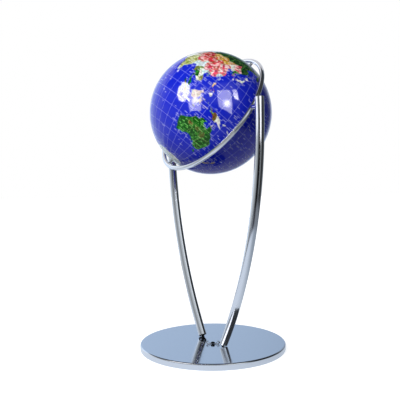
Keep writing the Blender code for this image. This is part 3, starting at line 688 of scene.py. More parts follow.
def leg_profile():
    """The leg's outline from its mouth to its top, as (radius, distance up from the foot)."""
    length = (leg_foot_lean() - leg_lean(LEG_TOP)) * LEG_ARC_RADIUS
    middle, half = (LEG_RADIUS + LEG_MOUTH_RADIUS) / 2, (LEG_RADIUS - LEG_MOUTH_RADIUS) / 2
    lip = np.linspace(0, pi, 7)
    shaft = np.linspace(LEG_SHAFT_FROM, length - LEG_TOP_EDGE * PAST_EDGE, LEG_STATIONS + 1)
    return [
        (0.0, LEG_MOUTH_DEPTH), (LEG_MOUTH_RADIUS, LEG_MOUTH_DEPTH),
        (LEG_MOUTH_RADIUS, LEG_MOUTH_DEPTH - LEG_MOUTH_CORNER), (LEG_MOUTH_RADIUS, LEG_LIP * 2),
        *zip(middle - half * np.cos(lip), LEG_LIP * (1 - np.sin(lip))),
        *((LEG_RADIUS, distance) for distance in shaft),
        *arc(LEG_RADIUS - LEG_TOP_EDGE, LEG_TOP_EDGE, length - LEG_TOP_EDGE, 0, 90, 7),
        (LEG_RADIUS - LEG_TOP_EDGE * PAST_EDGE, length), (0.0, length)]


def make_leg(side, word):
    """A curved tube with an open mouth at its foot and a rounded edge at its flat top."""
    stations = []
    for radius, distance in leg_profile():
        lean = leg_foot_lean() - distance / LEG_ARC_RADIUS
        reach, height = leg_point(lean)
        across = (side * radius * cos(lean), 0, -radius * sin(lean))
        stations.append(((side * reach, 0, height), across, (0, side * radius, 0)))
    form = loft(stations, LEG_SIDES)
    add_metal(f"{word}_leg_tube", "stand", "chrome", f"{word}_leg", form, sharp_from=50)


def make_leg_bolt(side, word):
    """The threaded bolt between the base and the leg, seen in the leg's open mouth."""
    lean = leg_foot_lean()
    reach, height = leg_point(lean)
    rise = Vector((side * sin(lean), 0.0, cos(lean)))
    bottom = GAP - (height - BASE_TOP + BOLT_SEAT_DEPTH) / rise.z
    top = LEG_MOUTH_DEPTH - GAP
    core = BOLT_RADIUS - BOLT_THREAD_DEPTH
    turns = int((top - bottom) / BOLT_THREAD_PITCH)
    pitch = (top - bottom) / turns
    profile = [(0.0, top), (core, top)]
    for index in range(turns):
        heights = [top - pitch * (index + share) for share in BOLT_THREAD]
        profile += zip((core, BOLT_RADIUS, BOLT_RADIUS), heights)
    profile += [(core, bottom), (0.0, bottom)]
    add_metal(
        f"{word}_foot_bolt", "stand", "dark_steel", f"{word}_leg_bolt", revolve(profile, 32),
        aimed((side * reach, 0.0, height), rise, up="X"), 40)


def make_screw():
    """The round-headed screw, whose domed head holds the wire link on the base."""
    under = 2 * LINK_WIRE_RADIUS + 3 * GAP
    dome = np.linspace(0, pi / 2, 15)
    profile = [
        *zip(SCREW_HEAD_RADIUS * np.sin(dome), under + SCREW_HEAD_HEIGHT * np.cos(dome)),
        (SCREW_HEAD_RADIUS, under + GAP), (SCREW_HEAD_RADIUS - GAP, under + GAP * 0.3),
        (SCREW_HEAD_RADIUS - 2 * GAP, under), (SCREW_SHANK_RADIUS + GAP, under),
        (SCREW_SHANK_RADIUS, under - GAP), (SCREW_SHANK_RADIUS, GAP - SCREW_SEAT_DEPTH),
        (0.0, GAP - SCREW_SEAT_DEPTH)]
    add_metal(
        "round_head_screw", "stand", "dark_steel", "base_screw", revolve(profile, 48),
        Matrix.Translation(SCREW_PLACE), 50)


def make_link():
    """The bent wire under the screw's head, with an open eye at each raised end."""
    round_shank = SCREW_SHANK_RADIUS + LINK_WIRE_RADIUS + GAP
    bend = [Vector((x, y, 0.0)) for x, y in arc(0.0, round_shank, 0.0, 90, 15, 13)]
    neck = Vector((LINK_REACH - LINK_EYE_RADIUS - LINK_NECK, 0.0, 0.0))
    straight = [bend[-1].lerp(neck, share) for share in np.linspace(0, 1, 7)[1:]]
    lift = Vector((0.0, cos(LINK_EYE_LEAN), sin(LINK_EYE_LEAN)))
    loop = arc(LINK_REACH, LINK_EYE_RADIUS, LINK_EYE_RADIUS, 200, 472, 34)
    half = bend + straight + [Vector((x, 0.0, 0.0)) + lift * y for x, y in loop]
    other = [Vector((-x, y, z)) for x, y, z in half[:0:-1]]
    place = Matrix.Translation(SCREW_PLACE + Vector((0.0, 0.0, LINK_WIRE_RADIUS + GAP)))
    add_metal(
        "wire_link", "stand", "chrome", "foot_link", sweep(other + half, LINK_WIRE_RADIUS, 18),
        place @ Matrix.Rotation(LINK_HEADING, 4, "Z"), 60)


def make_pivot_pin(side, word):
    """The turned pin between a leg and the ring, with a collar that fills the gap."""
    inner, shoulder = RING_RADIUS_OUT - PIN_IN_RING, RING_RADIUS_OUT + GAP
    leg_face = leg_point(leg_lean(BALL_CENTRE.z))[0] - LEG_RADIUS
    outer = leg_face + PIVOT_SEAT_DEPTH - GAP
    rim, flat = PIVOT_COLLAR_RADIUS - PIN_EDGE, PIVOT_COLLAR_RADIUS - PIN_EDGE * PAST_EDGE
    profile = [
        (0.0, outer), (flat, outer), *arc(rim, PIN_EDGE, outer - PIN_EDGE, 90, 0),
        *arc(rim, PIN_EDGE, shoulder + PIN_EDGE, 0, -90), (flat, shoulder),
        (PIVOT_SPIGOT_RADIUS, shoulder), (PIVOT_SPIGOT_RADIUS, inner), (0.0, inner)]
    add_metal(
        f"{word}_pivot", "stand", "chrome", f"{word}_pivot_pin", revolve(profile, 64),
        Matrix.Translation(BALL_CENTRE) @ Matrix.Rotation(side * pi / 2, 4, "Y"), 50)


# --- The ring --------------------------------------------------------------------
def make_ring(settings):
    """The round ring that holds the ball's poles and tilts between the legs."""
    tube = settings.ring_tube
    outward = revolve([(1.0, 0.0)], RING_STEPS)[0]
    stations = [(RING_RADIUS * way, tube * way, (0.0, 0.0, tube)) for way in outward]
    form = loft(stations, RING_SIDES, closed=True)
    add_metal("tilting_ring", "ring", "chrome", "gimbal_ring", form, RING_PLACE)


def make_pole_pin(sign, word):
    """The short pin that joins the ring to the ball at a pole."""
    inner = BALL_RADIUS - POLE_PIN_IN_BALL
    outer = RING_RADIUS - RING_TUBE + PIN_IN_RING
    profile = rod_profile(POLE_PIN_RADIUS, outer, inner, PIN_EDGE, PIN_EDGE / 4)
    add_metal(
        f"{word}_axle", "ring", "chrome", f"{word}_pole_pin", revolve(profile, 48),
        aimed(BALL_CENTRE, sign * BALL_AXIS, up="X"), 50)


# --- The ball --------------------------------------------------------------------
def directions(longitude, latitude):
    """Unit vectors on the map's own axes for longitudes and latitudes in degrees."""
    lon, lat = np.broadcast_arrays(np.radians(longitude), np.radians(latitude))
    return np.stack([np.cos(lat) * np.cos(lon), np.cos(lat) * np.sin(lon), np.sin(lat)], -1)


def lon_lat(vectors):
    """Longitude and latitude in degrees of vectors on the map's own axes."""
    x, y, z = np.moveaxis(unit(vectors), -1, 0)
    return np.degrees(np.arctan2(y, x)), np.degrees(np.arcsin(np.clip(z, -1, 1)))


def on_ball(vectors):
    """Points for vectors on the map's own axes, which have length 1 at the ball's face."""
    level = Vector((0, 0, 1)).cross(BALL_AXIS).normalized()
    rise = BALL_AXIS.cross(level)
    zero = level * cos(ZERO_MERIDIAN_TURN) + rise * sin(ZERO_MERIDIAN_TURN)
    axes = np.array([zero, BALL_AXIS.cross(zero), BALL_AXIS], float)
    return BALL_RADIUS * (vectors @ axes) + np.array(BALL_CENTRE)


def wander(vectors, waves, reach, seed):
    """Vectors shifted by a few smooth waves, so that straight borders become uneven."""
    chance = np.random.default_rng(seed)
    moved = vectors.copy()
    for _ in range(10):
        pitch = chance.normal(size=3)
        pitch *= waves * chance.uniform(0.5, 1.5) / np.linalg.norm(pitch)
        push = chance.normal(size=3) * reach / 3
        moved += np.sin(vectors @ pitch + chance.uniform(0, 2 * pi))[:, None] * push
    return moved


def inside(longitude, latitude, outline):
    """Which points lie inside a closed outline of corners."""
    corners = np.reshape(outline, (-1, 2)).astype(float)
    x = longitude + np.where(longitude < corners[:, 0].min(), 360.0, 0.0)
    hit = np.zeros(longitude.shape, bool)
    for (x1, y1), (x2, y2) in zip(corners, np.roll(corners, -1, 0)):
        if y1 != y2:
            crosses = (y1 > latitude) != (y2 > latitude)
            hit ^= crosses & (x < x1 + (latitude - y1) * (x2 - x1) / (y2 - y1))
    return hit


def country_middles():
    """Each country's middle as a vector, and every country's and block's place in STONES."""
    places = np.concatenate([np.reshape(group, (-1, 2)) for group in COUNTRIES.values()])
    counts = {stone: len(group) // 2 for stone, group in COUNTRIES.items()}
    blocks = {stone: len(group) for stone, group in BLOCKS.items()}
    kinds = [
        list(STONES).index(stone)
        for table in (counts, blocks) for stone, count in table.items() for _ in range(count)]
    return directions(places[:, 0], places[:, 1]), np.array(kinds)


def countries_at(vectors):
    """0 at sea, and otherwise 1 more than the number of the nearest country's middle."""
    longitude, latitude = lon_lat(wander(vectors, *COAST_WAVES))
    land = np.any([inside(longitude, latitude, outline) for outline in COASTS.values()], axis=0)
    land &= ~inside(longitude, latitude, INLAND_SEA)
    land |= latitude < np.interp(longitude, SOUTHERN_COAST[::2], SOUTHERN_COAST[1::2])
    middles, _ = country_middles()
    number = np.argmax(wander(vectors, *BORDER_WAVES) @ middles.T, axis=1) + 1
    outlines = [outline for group in BLOCKS.values() for outline in group]
    for index, outline in enumerate(outlines):
        number[inside(longitude, latitude, outline)] = len(middles) + 1 + index
    return np.where(land, number, 0)


def grid_rows(half):
    """Latitudes of the ball's rows from north to south, and which gaps are grid lines."""
    pole = 90 - np.degrees(asin(BORE_RADIUS / BALL_RADIUS))
    rows, lines = [pole], []
    for latitude in (*range(90 - GRID_STEP, -90, -GRID_STEP), None):
        top, bottom = rows[-1], -pole if latitude is None else latitude + half
        steps = FINE_ROWS if FINE_FROM <= (top + bottom) / 2 <= FINE_TO else COARSE_ROWS
        rows += [top + (bottom - top) * index / steps for index in range(1, steps + 1)]
        lines += [False] * steps
        if latitude is not None:
            rows.append(latitude - half)
            lines.append(True)
    return np.array(rows), np.array(lines)


def ball_grid(line_width):
    """The ball's grid of unit vectors, its triangles, and which of them are grid lines."""
    half = np.degrees(line_width / 2 / BALL_RADIUS)
    rows, line_rows = grid_rows(half)
    half = np.minimum(half / np.cos(np.radians(rows)), WIDEST_LINE)[:, None, None]
    cells = half + (GRID_STEP - 2 * half) * np.arange(SECTOR_CELLS) / SECTOR_CELLS
    columns = np.concatenate([-half, cells], 2)
    sectors = np.arange(SECTORS)[:, None] * GRID_STEP
    longitude = (sectors + columns).reshape(len(rows), -1)
    wide = longitude.shape[1]
    across = np.arange(wide)
    above = np.arange(len(rows) - 1)[:, None] * wide
    here, after = above + across, above + np.roll(across, -1)
    quads = np.stack([here, here + wide, after + wide, after], -1).reshape(-1, 4)
    triangles = np.concatenate([quads[:, [0, 1, 2]], quads[:, [0, 2, 3]]])
    line = (line_rows[:, None] | (across % (SECTOR_CELLS + 1) == 0)).reshape(-1)
    points = directions(longitude, rows[:, None]).reshape(-1, 3)
    return points, triangles, np.tile(line, 2), wide


def crossing(first, second, label):
    """Where the country changes between two rows of points, found by halving."""
    low, high = np.zeros((len(first), 1)), np.ones((len(first), 1))
    for _ in range(6):
        middle = (low + high) / 2
        same = (countries_at(unit(first + (second - first) * middle)) == label)[:, None]
        low, high = np.where(same, middle, low), np.where(same, high, middle)
    return unit(first + (second - first) * np.clip((low + high) / 2, *CUT_LIMITS))


def cut_at_borders(points, triangles, line):
    """Split the triangles that a coast or border crosses, so that each has one country.

    Returns the points, the triangles, each one's country, its line mark, and the border's
    pieces as pairs of points with the two countries that they part.
    """
    label = countries_at(points)
    corner = label[triangles]
    whole = (corner == corner[:, :1]).all(1)
    mixed = triangles[~whole]
    pairs = np.sort(mixed[:, [[0, 1], [1, 2], [2, 0]]].reshape(-1, 2), axis=1)
    edges, number = np.unique(pairs, axis=0, return_inverse=True)
    differs = label[edges[:, 0]] != label[edges[:, 1]]
    one, two = edges[differs].T
    cut_place = len(points) - 1 + np.cumsum(differs)
    cuts = cut_place[number.reshape(-1, 3)]
    count = len(points) + len(one)
    centres, new, countries, lines, borders = [], [], [], [], []
    for corners, kind, cut, is_line in zip(mixed, corner[~whole], cuts, line[~whole]):
        if len(set(kind)) == 3:
            centre = count + len(centres)
            centres.append(points[corners].mean(0))
            for index in range(3):
                new += [(corners[index], cut[index], centre), (corners[index], centre, cut[index - 1])]
                countries += [kind[index]] * 2
                lines += [is_line] * 2
                borders.append((cut[index], centre, kind[index], kind[(index + 1) % 3]))
            continue
        odd = next(index for index in range(3) if (kind == kind[index]).sum() == 1)
        right, left = (odd + 1) % 3, (odd + 2) % 3
        new += [
            (corners[odd], cut[odd], cut[left]), (cut[odd], corners[right], corners[left]),
            (cut[odd], corners[left], cut[left])]
        countries += [kind[odd], kind[right], kind[right]]
        lines += [is_line] * 3
        borders.append((cut[odd], cut[left], kind[odd], kind[right]))
    found = crossing(points[one], points[two], label[one])
    points = np.concatenate([points, found, unit(np.reshape(centres, (-1, 3)))])
    triangles = np.concatenate([triangles[whole], new])
    country = np.concatenate([corner[whole][:, 0], countries])
    return points, triangles, country, np.concatenate([line[whole], lines]), borders


def round_normals(mesh, outer_faces):
    """Exact sphere normals on the ball's outside, and flat ones in its bores."""
    corners = np.empty(len(mesh.loops), np.int32)
    mesh.loops.foreach_get("vertex_index", corners)
    places, flat = np.empty(len(mesh.vertices) * 3), np.empty(len(mesh.polygons) * 3)
    mesh.vertices.foreach_get("co", places)
    mesh.polygons.foreach_get("normal", flat)
    normals = unit(places.reshape(-1, 3)[corners] - np.array(BALL_CENTRE))
    normals[outer_faces * 3:] = np.repeat(flat.reshape(-1, 3)[outer_faces:], 3, 0)
    mesh.normals_split_custom_set(normals.tolist())


def make_ball(settings):
    """The ball: blue stone with flush stones for the countries and a flush grid of lines."""
    points, triangles, line, wide = ball_grid(settings.line_width)
    north = np.arange(wide)
    south = len(points) - wide + north
    points, triangles, country, line, borders = cut_at_borders(points, triangles, line)
    _, stone_of = country_middles()
    slots = np.where(country == 0, 0, 3 + stone_of[np.maximum(country, 1) - 1])
    slots = np.where(line, np.where(country == 0, 1, 2), slots)
    faces = [triangles]
    for rim, sign in ((north, 1), (south, -1)):
        wall = len(points) + north
        floor = sign * (1 - BORE_DEPTH / BALL_RADIUS)
        wall_points = np.column_stack([points[rim, :2], np.full(wide, floor)])
        points = np.concatenate([points, wall_points, [[0.0, 0.0, floor]]])
        next_rim, next_wall = np.roll(rim, -1), np.roll(wall, -1)
        middle = np.full(wide, len(points) - 1)
        for corners in (
                (rim, next_rim, next_wall), (rim, next_wall, wall), (wall, next_wall, middle)):
            faces.append(np.stack(corners[::sign], 1))
    colour = settings.ocean_colour
    light = [min(1.0, 1.12 * channel + 0.004) for channel in colour]
    materials = [inlay_material("ocean_stone", colour, light, 900, 0.30, 0.10)]
    for name, colour in (
            ("sea_line", settings.sea_line_colour), ("land_line", settings.land_line_colour)):
        materials.append(inlay_material(name, colour, colour, 900, 0.0, 0.12))
    for name, (colour, vein, chips, veins, pale) in STONES.items():
        materials.append(
            inlay_material(f"stone_{name}", colour, vein, chips, veins, 1.0, pale, 0.000001))
    ball = new_piece(
        "inlaid_ball", on_ball(points), np.concatenate(faces), materials,
        np.append(slots, np.zeros(6 * wide, int)))
    round_normals(ball.data, len(triangles))
    settle(ball, "ball", "blue_stone", "globe")
    return points, borders


def bars_piece(name, first, second, width, colours, kinds):
    """One mesh of flat bars let into the ball, each between two vectors on the map's axes."""
    first, second = unit(first), unit(second)
    across = unit(np.cross(first + second, second - first))
    across *= np.reshape(width, (-1, 1)) / 2 / BALL_RADIUS
    low, high = 1 - MARK_SINK / BALL_RADIUS, 1 + MARK_RISE / BALL_RADIUS
    corners = [
        (end + side * across) * level
        for level in (low, high)
        for end, side in ((first, -1), (first, 1), (second, 1), (second, -1))]
    bar = [(0, 1, 2, 3), (7, 6, 5, 4), (0, 4, 5, 1), (1, 5, 6, 2), (2, 6, 7, 3), (3, 7, 4, 0)]
    faces = (np.arange(len(first))[:, None, None] * 8 + np.array(bar)).reshape(-1, 4)
    materials = [
        inlay_material(label, colour, colour, 700, 0.0, 0.15) for label, colour in colours.items()]
    item = new_piece(
        name, on_ball(np.stack(corners, 1).reshape(-1, 3)), faces, materials,
        np.repeat(kinds, 6), sharp_from=30)
    settle(item, "ball", "blue_stone")


def make_border_wires(points, borders, settings):
    """Thin wires set between neighbouring countries."""
    first, second, one, two = np.transpose(borders)
    first, second = points[first], points[second]
    long_enough = np.linalg.norm(first - second, axis=1) >= SHORTEST_WIRE
    kept = (one > 0) & (two > 0) & long_enough
    bars_piece(
        "border_wires", first[kept], second[kept], settings.wire_width,
        {"border_wire": settings.wire_colour}, np.zeros(kept.sum(), int))


def name_row(chance, longitude, latitude, count, size, dashed):
    """The bars in the place of one name: short strokes along a parallel, or end-to-end dashes."""
    bars = []
    middle = directions(longitude, latitude)
    east = unit(np.cross([0.0, 0.0, 1.0], middle))
    north = np.cross(middle, east)
    half = count * size * STROKE_PITCH / 2 / BALL_RADIUS
    start = -half
    while dashed and start < half:
        end = min(half, start + DASH / BALL_RADIUS * chance.uniform(0.5, 1.5))
        bars.append((middle + east * start, middle + east * end))
        start = end + DASH_GAP / BALL_RADIUS
    step = size * STROKE_PITCH / BALL_RADIUS
    for index in range(0 if dashed else count):
        centre = middle + east * step * (index - (count - 1) / 2)
        tilt = chance.choice(STROKE_TILTS)
        reach = size / 2 / BALL_RADIUS * chance.uniform(0.7, 1.0)
        way = (north * cos(tilt) + east * sin(tilt)) * reach
        bars.append((centre - way, centre + way))
    return bars


def name_places(chance, sizes):
    """Places for rows along the parallels: (longitude, latitude, count of strokes, size)."""
    places = []
    for latitude in np.arange(-NAME_LIMIT, NAME_LIMIT, ROW_STEP):
        if abs((latitude + GRID_STEP / 2) % GRID_STEP - GRID_STEP / 2) < LINE_CLEARANCE:
            continue
        longitude = chance.uniform(*ROW_START)
        while longitude < 360:
            size = chance.uniform(*sizes)
            count = int(chance.integers(*STROKES_IN_ROW))
            metres = count * size * STROKE_PITCH
            long = np.degrees(metres / BALL_RADIUS) / cos(radians(latitude))
            places.append((longitude + long / 2, latitude, count, size))
            longitude += long + chance.uniform(*ROW_ROOM) / cos(radians(latitude))
    return places


def kept_places(chance):
    """The places that get a row, most on land and near it, with each one's country."""
    kept = []
    for on_land, sizes in ((True, LAND_STROKES), (False, SEA_STROKES)):
        places = name_places(chance, sizes)
        longitude, latitude = np.transpose(places)[:2]
        points = directions(longitude, latitude)
        country = countries_at(points)
        near_land = np.any(
            [countries_at(unit(points + way * COAST_REACH)) > 0 for way in (*np.eye(3), *-np.eye(3))],
            axis=0)
        west, east = ISLAND_SEA
        islands = (west < longitude % 360) & (longitude % 360 < east)
        at_sea = np.where(near_land, COAST_NAMES, np.where(islands, ISLAND_NAMES, SEA_NAMES))
        wanted = chance.uniform(size=len(points)) < (LAND_NAMES if on_land else at_sea)
        wanted &= (country > 0) == on_land
        kept += [(places[index], country[index]) for index in np.flatnonzero(wanted)]
    return kept


def make_name_strokes(settings):
    """Rows of small shallow strokes over land and sea, in the places of names."""
    chance = np.random.default_rng(STROKE_SEED)
    _, stone_of = country_middles()
    bars, kinds = [], []
    for place, country in kept_places(chance):
        stone = list(STONES)[stone_of[country - 1]] if country else None
        if stone == DARK_STONE:
            continue
        kind = 1 if stone is None else 2 if stone in GREEN_STONES else 0
        row = name_row(chance, *place, kind == 2)
        bars += row
        kinds += [kind] * len(row)
    first, second = np.swapaxes(bars, 0, 1)
    bars_piece(
        "name_strokes", first, second, settings.stroke_width * np.array(STROKE_WIDTHS)[kinds],
        {"land_strokes": settings.land_stroke_colour, "sea_strokes": settings.sea_stroke_colour,
         "green_land_strokes": settings.green_stroke_colour}, kinds)


# --- The stage -------------------------------------------------------------------
# Brightness of the room round the object, by turn from the front side, right positive
UPPER_WALLS = (
    (-180, 0.74), (-163, 0.84), (-142, 1.24), (-112, 0.90), (-90, 0.42), (-60, 0.28), (-40, 0.34),
    (-22, 0.50), (7, 0.62), (37, 1.12), (50, 1.10), (60, 0.25), (72, 0.03), (97, 0.02), (112, 0.05),
    (130, 0.08), (137, 0.25), (145, 0.45), (160, 0.45), (180, 0.73))
LOWER_WALLS = (
    (-180, 0.80), (-163, 0.90), (-142, 1.24), (-112, 0.95), (-97, 0.68), (-82, 0.55), (-60, 0.48),
    (-37, 0.25), (-28, 0.08), (-14, 0.00), (6, 0.00), (20, 0.10), (35, 0.30), (47, 0.15), (58, 0.02),
    (72, 0.02), (97, 0.09), (127, 0.11), (137, 0.18), (145, 0.35), (160, 0.70), (180, 0.80))
WALL_GAIN = 1.5
WALL_SEAM = (8.0, 15.0)
CEILING_TONE = 0.05
FRONT_EAVES, BACK_EAVES = 45.0, 27.0
EAVES_TURN = (45.0, 115.0)
EAVES_SOFTNESS = 7.0
TINT_TURN = (100.0, 175.0)

# The floor, as it is seen
FLOOR_TURNS_WHITE = (0.35, 1.0)
FLOOR_WHITE = 1.1

# The round table below, as metal mirrors it, and how far past its edge its light goes
TABLE_CENTRE = (-0.05, 0.15, 0.0)
TABLE_RADIUS = 0.93
TABLE_EDGE = 0.08
TABLE_SHADES = (-0.1, 0.6)
PAST_SHADES = (0.10, 0.50)
PAST_BEHIND = (0.04, 0.04, 0.05, 1.0)
PAST_ASIDE = (0.24, 0.26, 0.29, 1.0)
TABLE_FADE = (TABLE_RADIUS + 0.30, TABLE_RADIUS + 0.70)

# Glowing cards that only some pieces mirror. Corners and lamp are (turn, height) in degrees as
# seen from a height in the middle; the glow goes from level to peak within reach of the lamp.
CARDS = {
    "left_box": {
        "mirrored_by": "ball", "lamp": (-28, 18), "level": 9.0, "peak": 34.0, "reach": 0.40,
        "corners": ((-40, 35), (-14, 36), (-17, 0), (-37, 0), (-42, 20))},
    "right_box": {
        "mirrored_by": "ball", "lamp": (29, 12), "level": 8.5, "peak": 36.0, "reach": 0.40,
        "corners": ((12, 34), (40, 35), (38, -6), (14, 6))},
    "side_box": {
        "mirrored_by": "ball", "lamp": (48, 22), "level": 11.0, "peak": 22.0, "reach": 0.40,
        "corners": ((44, 34), (54, 35), (53, 17), (44, 19))},
    "round_box": {
        "mirrored_by": "ball", "lamp": (-58, 28), "level": 24.0, "peak": 4.0, "reach": 0.20,
        "corners": ((-67, 47), (-55, 46), (-44, 40), (-41, 30), (-44, 20), (-51, 15), (-60, 18),
                    (-67, 26), (-71, 36))},
    "ball_wall": {
        "mirrored_by": "ball", "level": 0.30,
        "corners": ((-215, 27), (-180, 27), (-145, 27), (-145, -14), (-180, -14), (-215, -14))},
    "ball_cornice": {
        "mirrored_by": "ball", "level": 0.75,
        "corners": ((-178, 29), (-178, 36), (-150, 42), (-115, 44), (-115, 29), (-150, 30))},
    "door": {
        "mirrored_by": "right_leg", "level": 1.45,
        "corners": ((3, 13), (33, 13), (33, -3), (3, -3))},
    "window": {
        "mirrored_by": "right_leg", "level": 0.9,
        "corners": ((-92, 10), (-46, 10), (-46, 1), (-92, 1))},
    "backdrop": {
        "mirrored_by": "ring", "level": 0.70,
        "corners": ((-220, 22), (-180, 22), (-145, 22), (-108, 22), (-108, 62), (-145, 62),
                    (-180, 62), (-220, 62))},
    "apron": {
        "mirrored_by": "ring", "distance": 0.9, "level": 0.36,
        "corners": ((-36, 5), (1, 5), (8, -9), (24, -20), (46, -33), (38, -43), (0, -44),
                    (-40, -43), (-58, -30), (-50, -8))},
    "high_lamp": {
        "mirrored_by": "base", "seen_from": 0.05, "level": 2.2,
        "corners": ((-80, 50), (-42, 54), (-30, 46), (-42, 37), (-80, 30))},
}
CARD_DISTANCE = 2.6
CARD_COLOUR = (1.0, 0.97, 0.98, 1.0)
MIRRORS = {
    "ball": ("inlaid_ball", "border_wires", "name_strokes"),
    "right_leg": ("right_leg_tube",),
    "ring": ("tilting_ring",),
    "base": ("base",),
    "stand": (
        "base", "right_leg_tube", "left_leg_tube", "right_pivot", "left_pivot", "tilting_ring",
        "north_axle", "south_axle"),
}


def hide_from(item, *rays):
    for ray in rays:
        setattr(item, f"visible_{ray}", False)


def empty_tree(owner):
    """The cleared node tree of a material or world."""
    owner.use_nodes = True
    owner.node_tree.nodes.clear()
    return owner.node_tree


def glow(tree, colour, strength=1.0, kind="ShaderNodeEmission"):
    return output(tree, kind, {"Color": colour, "Strength": strength})


def clear(tree):
    return output(tree, "ShaderNodeBsdfTransparent")


def both(tree, first, second):
    return output(tree, "ShaderNodeAddShader", {0: first, 1: second})


def either(tree, share, first, second):
    return output(tree, "ShaderNodeMixShader", {0: share, 1: first, 2: second})


def distance_from(tree, place, middle=(0.0, 0.0, 0.0)):
    """How far a place is from a point."""
    node = add_node(tree, "ShaderNodeVectorMath", {0: place, 1: middle}, operation="DISTANCE")
    return node.outputs["Value"]


def facing_front(tree, kind):
    """Texture coordinates turned so that the front side is towards -Y."""
    return output(
        tree, "ShaderNodeVectorRotate",
        {"Vector": output_place(tree, kind), "Axis": (0.0, 0.0, 1.0), "Angle": -FRONT},
        rotation_type="AXIS_ANGLE")


def wall_ramp(tree, share, stops):
    """A ramp round the room; the stops are (degrees, brightness)."""
    ramp = add_node(tree, "ShaderNodeValToRGB", {"Fac": share})
    band = ramp.color_ramp
    band.interpolation = "EASE"
    band.elements.remove(band.elements[-1])
    for index, (degrees, brightness) in enumerate(stops):
        position = (degrees + 180) / 360
        stop = band.elements[0] if index == 0 else band.elements.new(position)
        stop.position = position
        stop.color = grey(brightness / WALL_GAIN)
    return ramp.outputs["Color"]


def make_room(settings):
    """The world: white where it is seen, and a studio's walls where metal reflects it."""
    world = bpy.data.worlds.new("studio")
    bpy.context.scene.world = world
    tree = empty_tree(world)
    axes = add_node(
        tree, "ShaderNodeSeparateXYZ", {"Vector": facing_front(tree, "Generated")}).outputs
    back = math_node(tree, "MULTIPLY", axes["Y"], -1.0)
    turn = math_node(tree, "DEGREES", math_node(tree, "ARCTAN2", axes["X"], back))
    height = math_node(tree, "DEGREES", math_node(tree, "ARCSINE", axes["Z"]))
    share = math_node(tree, "MULTIPLY_ADD", turn, 1 / 360, 0.5)
    walls = mix_colours(
        tree, smooth_step(tree, height, *WALL_SEAM), wall_ramp(tree, share, LOWER_WALLS),
        wall_ramp(tree, share, UPPER_WALLS))
    aside = math_node(tree, "ABSOLUTE", turn)
    slope = smooth_step(tree, aside, *EAVES_TURN)
    eaves = math_node(tree, "MULTIPLY_ADD", slope, BACK_EAVES - FRONT_EAVES, FRONT_EAVES)
    above = math_node(tree, "SUBTRACT", height, eaves)
    ceiling = smooth_step(tree, above, 0.0, EAVES_SOFTNESS)
    walls = mix_colours(tree, ceiling, walls, grey(CEILING_TONE / WALL_GAIN))
    tint = mix_colours(
        tree, smooth_step(tree, aside, *TINT_TURN), opaque(settings.front_tint),
        opaque(settings.back_tint))
    walls = mix_colours(tree, 1.0, walls, tint, "MULTIPLY")
    in_metal, plain, white = (
        glow(tree, colour, strength, "ShaderNodeBackground") for colour, strength in (
            (walls, WALL_GAIN), (opaque(settings.fill_colour), settings.fill_strength),
            (grey(1.0), 1.0)))
    path = add_node(tree, "ShaderNodeLightPath").outputs
    soft = either(tree, path["Is Diffuse Ray"], in_metal, plain)
    whole = either(tree, path["Is Camera Ray"], soft, white)
    add_node(tree, "ShaderNodeOutputWorld", {"Surface": whole})


def floor_surface(tree, settings):
    """Pale and plain where it is seen, dim to stone, and not there to what mirrors it."""
    away = smooth_step(tree, distance_from(tree, output_place(tree)), *FLOOR_TURNS_WHITE)
    level = math_node(
        tree, "MULTIPLY_ADD", away, FLOOR_WHITE - settings.floor_glow, settings.floor_glow)
    pale = output(tree, "ShaderNodeBsdfDiffuse", {"Color": opaque(settings.floor_colour)})
    seen = both(tree, pale, glow(tree, grey(1.0), level))
    dim = glow(tree, opaque(settings.fill_colour), settings.floor_bounce)
    path = add_node(tree, "ShaderNodeLightPath").outputs
    unseen = either(tree, path["Is Diffuse Ray"], clear(tree), dim)
    return either(tree, path["Is Camera Ray"], unseen, seen)


def table_surface(tree, settings):
    """What chrome mirrors below it: a lit round table, and a dim floor past its edge."""
    place = facing_front(tree, "Object")
    from_middle = distance_from(tree, place, TABLE_CENTRE)
    to_right = add_node(tree, "ShaderNodeSeparateXYZ", {"Vector": place}).outputs["X"]
    tone = mix_colours(
        tree, smooth_step(tree, to_right, *TABLE_SHADES), opaque(settings.table_left),
        opaque(settings.table_right))
    aside = math_node(tree, "ABSOLUTE", to_right)
    past = mix_colours(tree, smooth_step(tree, aside, *PAST_SHADES), PAST_BEHIND, PAST_ASIDE)
    edge = smooth_step(tree, from_middle, TABLE_RADIUS, TABLE_RADIUS + TABLE_EDGE)
    near = smooth_step(tree, from_middle, *TABLE_FADE[::-1])
    return both(tree, glow(tree, mix_colours(tree, edge, tone, past), near), clear(tree))


def ground_surface(tree, settings):
    """What the polished ball mirrors below it; it hides the room there from chrome too."""
    beyond = smooth_step(tree, distance_from(tree, output_place(tree)), *TABLE_FADE)
    dim = glow(tree, opaque(settings.fill_colour), settings.floor_in_ball)
    return either(tree, beyond, dim, clear(tree))


def stage_piece(name, vertices, faces, surface, location, mirrored_by):
    """A glowing stage piece; one with receivers is there only for what mirrors it."""
    material = bpy.data.materials.new(name)
    tree = empty_tree(material)
    add_node(tree, "ShaderNodeOutputMaterial", {"Surface": surface(tree)})
    item = new_piece(name, vertices, faces, [material])
    item.location = location
    if mirrored_by:
        hide_from(item, "camera", "diffuse", "shadow")
        item.light_linking.receiver_collection = mirrored_by


